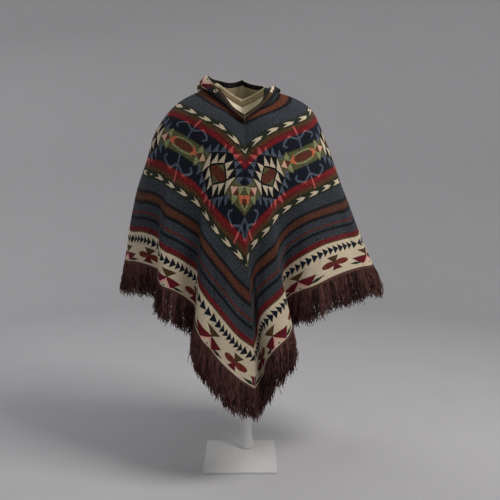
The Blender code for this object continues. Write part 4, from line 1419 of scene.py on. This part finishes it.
class PonchoYarns(PropertyGroup):
    """Colours of the woven wool."""
    charcoal: yarn("Charcoal ground", (55, 59, 65))
    black: yarn("Black stripe", (18, 19, 22))
    rust: yarn("Rust stripe", (96, 50, 34))
    umber: yarn("Umber stripe", (88, 52, 38))
    dark_red: yarn("Dark red", (104, 28, 32))
    red: yarn("Red", (126, 30, 34))
    navy: yarn("Navy ground", (20, 24, 36))
    moss: yarn("Moss", (40, 46, 34))
    bark: yarn("Bark brown", (82, 58, 34))
    olive: yarn("Olive", (92, 92, 58))
    cream: yarn("Cream", (214, 198, 170))
    peach: yarn("Peach", (222, 178, 152))
    orange: yarn("Orange", (206, 112, 78))
    pink: yarn("Pink", (196, 92, 88))
    blush: yarn("Pale pink", (234, 172, 160))
    brick: yarn("Brick", (112, 44, 36))
    slate: yarn("Slate", (84, 94, 108))
    sage: yarn("Sage", (146, 150, 108))
    claret: yarn("Claret", (100, 24, 36))
    hem_navy: yarn("Hem navy", (18, 26, 38))
    reverse: yarn("Pale reverse", (196, 182, 150))
    collar: yarn("Collar", (34, 32, 34))
    fringe: yarn("Fringe", (120, 80, 73))
    # Dark fringe: the yarns' darker tone, and also the painted shade in the grooves of the plies and of the
    # heading
    fringe_dark: yarn("Dark fringe", (32, 17, 16))


class PonchoCloth(PropertyGroup):
    """Cloth of the halves and the hood."""
    thickness: metres("Thickness", "Thickness of the wool", CLOTH_THICKNESS, 0.01)
    hood_thickness: metres("Hood thickness", "Thickness of the hood's wool", 0.0018, 0.01)
    crease: amount("Creases", "Strength of the soft creases", 1.0, 2.0)
    heather: amount("Heather", "How much the fibres' tones differ", 1.4, 3.0)
    sheen: amount("Sheen", "Soft light edge of the nap", 0.05)
    reverse_pattern: amount("Reverse pattern", "How much of the pattern shows on the reverse", 0.55)


class PonchoFringe(PropertyGroup):
    """Yarn fringe along the hem."""
    yarns: IntProperty(
        name="Yarns", description="Yarns in a quarter of the hem", default=1640, min=100, max=2600,
    )
    length: metres("Length", "Length of a yarn", 0.100, 0.3)
    spread: metres("Spread", "How much longer or shorter yarns are", 0.016, 0.1)
    radius: metres("Radius", "Radius of a yarn at its root", 0.0015, 0.01)
    wave: metres("Wave", "How far a yarn waves", 0.0050, 0.05)


class PonchoStudio(PropertyGroup):
    """Form, stand and studio."""
    form: yarn("Form cover", (212, 202, 176))
    paint: yarn("Stand paint", (220, 220, 218))
    floor: yarn("Floor", (196, 195, 197))
    key: power("Key light", 68.0)
    fill: power("Fill light", 9.0)
    back: power("Back light", 16.0)
    world: amount("World", "Strength of the light from above", 0.2, 4.0)


# Operators

def ride_as(piece, slot, *nodes):
    """The piece stands for the nodes, in the root body, and the nodes are hidden; its slot is not used."""
    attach(piece, "root")
    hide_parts(*nodes)


class PONCHO_OT_studio(Operator):
    """Floor, backdrop, lights and camera"""
    bl_idname = "poncho.studio"
    bl_label = "Studio"

    def execute(self, context):
        studio = context.scene.poncho_studio
        backdrop(plain_material("studio_floor", studio.floor, 0.85, 90.0, 0.0002))
        area_light("key", (1.7, -0.8, 3.1), (0, 0, 0.95), 1.2, studio.key, (1.0, 0.98, 0.96))
        area_light("fill", (-2.1, -1.2, 2.0), (-2.0, 2.6, 1.2), 1.8, studio.fill, (0.96, 0.98, 1.0))
        area_light("back", (-1.5, 1.4, 2.8), (-0.4, 0.2, 0.0), 1.4, studio.back, (1, 1, 1))
        world = bpy.data.worlds.get("studio_air") or bpy.data.worlds.new("studio_air")
        world.use_nodes = True
        shade = world.node_tree.nodes["Background"]
        shade.inputs["Color"].default_value = (0.80, 0.82, 0.86, 1.0)
        shade.inputs["Strength"].default_value = studio.world
        context.scene.world = world
        context.scene.view_settings.view_transform = "Standard"
        studio_camera()
        return {"FINISHED"}


class PONCHO_OT_halves(Operator):
    """Left and right halves of the poncho, from the neck edge to the hem"""
    bl_idname = "poncho.halves"
    bl_label = "Halves"

    def execute(self, context):
        cloth, yarns = context.scene.poncho_cloth, context.scene.poncho_yarns
        woven_pattern(yarns)
        brushed_wool()
        for side, sign in (("left", -1), ("right", 1)):
            material = cloth_material(f"patterned_wool_{side}", -sign, yarns, cloth)
            piece = half_of_cloth(f"poncho_{side}_half", sign, material, cloth)
            ride_as(piece, "charcoal_wool", f"panel_{side}")
        return {"FINISHED"}


class PONCHO_OT_hood(Operator):
    """Hood laid back on the shoulders"""
    bl_idname = "poncho.hood"
    bl_label = "Hood"

    def execute(self, context):
        cloth, yarns = context.scene.poncho_cloth, context.scene.poncho_yarns
        for side, sign, table in (("left", -1, LEFT_HOOD), ("right", 1, RIGHT_HOOD)):
            material = hood_material(f"hood_wool_{side}", -sign, yarns, cloth)
            piece = half_of_hood(f"hood_{side}_half", sign, table, material, cloth)
            ride_as(piece, "charcoal_hood_wool", f"hood_{side}")
        return {"FINISHED"}


class PONCHO_OT_fringe(Operator):
    """Yarn fringe and its heading along the whole hem"""
    bl_idname = "poncho.fringe"
    bl_label = "Fringe"

    def execute(self, context):
        scene = context.scene
        cloth, fringe, yarns = scene.poncho_cloth, scene.poncho_fringe, scene.poncho_yarns
        wool = yarn_material("fringe_yarn", yarns.fringe, yarns.fringe_dark)
        woven = heading_material("fringe_heading", yarns.fringe, yarns.fringe_dark)
        seed = 20
        for side, sign in (("left", -1), ("right", 1)):
            for end, front in (("front", True), ("back", False)):
                seed += 1
                place = f"{end}_{side}"
                heading = heading_of_fringe(f"fringe_heading_{place}", sign, front, woven, cloth)
                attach(heading, "root")
                piece = yarns_of_fringe(
                    f"fringe_yarns_{place}", sign, front, wool, cloth, fringe, seed,
                )
                ride_as(piece, "brown_fringe_wool", f"fringe_{place}")
        return {"FINISHED"}


class PONCHO_OT_form(Operator):
    """Limbless dress form under the cloth"""
    bl_idname = "poncho.form"
    bl_label = "Dress Form"

    def execute(self, context):
        cover = context.scene.poncho_studio.form
        jersey = plain_material("ivory_jersey", cover, 0.82, 260.0, 0.0004, 0.0016)
        ride_as(dress_form("form_cover", jersey), "ivory_form", "form_torso")
        return {"FINISHED"}


class PONCHO_OT_stand(Operator):
    """Pole and square plate of the stand"""
    bl_idname = "poncho.stand"
    bl_label = "Stand"

    def execute(self, context):
        paint = plain_material("satin_white_paint", context.scene.poncho_studio.paint, 0.38, 320.0, 0.0001)
        ride_as(stand_pole(paint), "white_paint", "stand_pole")
        ride_as(stand_plate(paint), "white_paint", "stand_base")
        return {"FINISHED"}


class PONCHO_OT_declare(Operator):
    """Empty step: it states nothing and leaves the scene as it is"""
    bl_idname = "poncho.declare"
    bl_label = "State the Cloth"

    def execute(self, context):
        return {"FINISHED"}


class PONCHO_PT_panel(Panel):
    """Steps and settings of the poncho"""
    bl_idname = "PONCHO_PT_panel"
    bl_label = "Hooded Poncho"
    bl_space_type = "VIEW_3D"
    bl_region_type = "UI"
    bl_category = "Poncho"

    def draw(self, context):
        for step in STEPS:
            self.layout.operator(step.bl_idname)
        for label in SETTINGS:
            box = self.layout.box()
            group = getattr(context.scene, label)
            for name in group.__annotations__:
                box.prop(group, name)


SETTINGS = {
    "poncho_yarns": PonchoYarns,
    "poncho_cloth": PonchoCloth,
    "poncho_fringe": PonchoFringe,
    "poncho_studio": PonchoStudio,
}
STEPS = (
    PONCHO_OT_studio, PONCHO_OT_halves, PONCHO_OT_hood, PONCHO_OT_fringe, PONCHO_OT_form, PONCHO_OT_stand,
    PONCHO_OT_declare,
)
CLASSES = (*SETTINGS.values(), *STEPS, PONCHO_PT_panel)


def register():
    for cls in CLASSES:
        bpy.utils.register_class(cls)
    for label, group in SETTINGS.items():
        setattr(bpy.types.Scene, label, PointerProperty(type=group))


def unregister():
    for label in SETTINGS:
        delattr(bpy.types.Scene, label)
    for cls in reversed(CLASSES):
        bpy.utils.unregister_class(cls)


def main():
    """Build everything."""
    register()
    for step in STEPS:
        group, name = step.bl_idname.split(".")
        getattr(getattr(bpy.ops, group), name)()


if __name__ == "__main__":
    main()
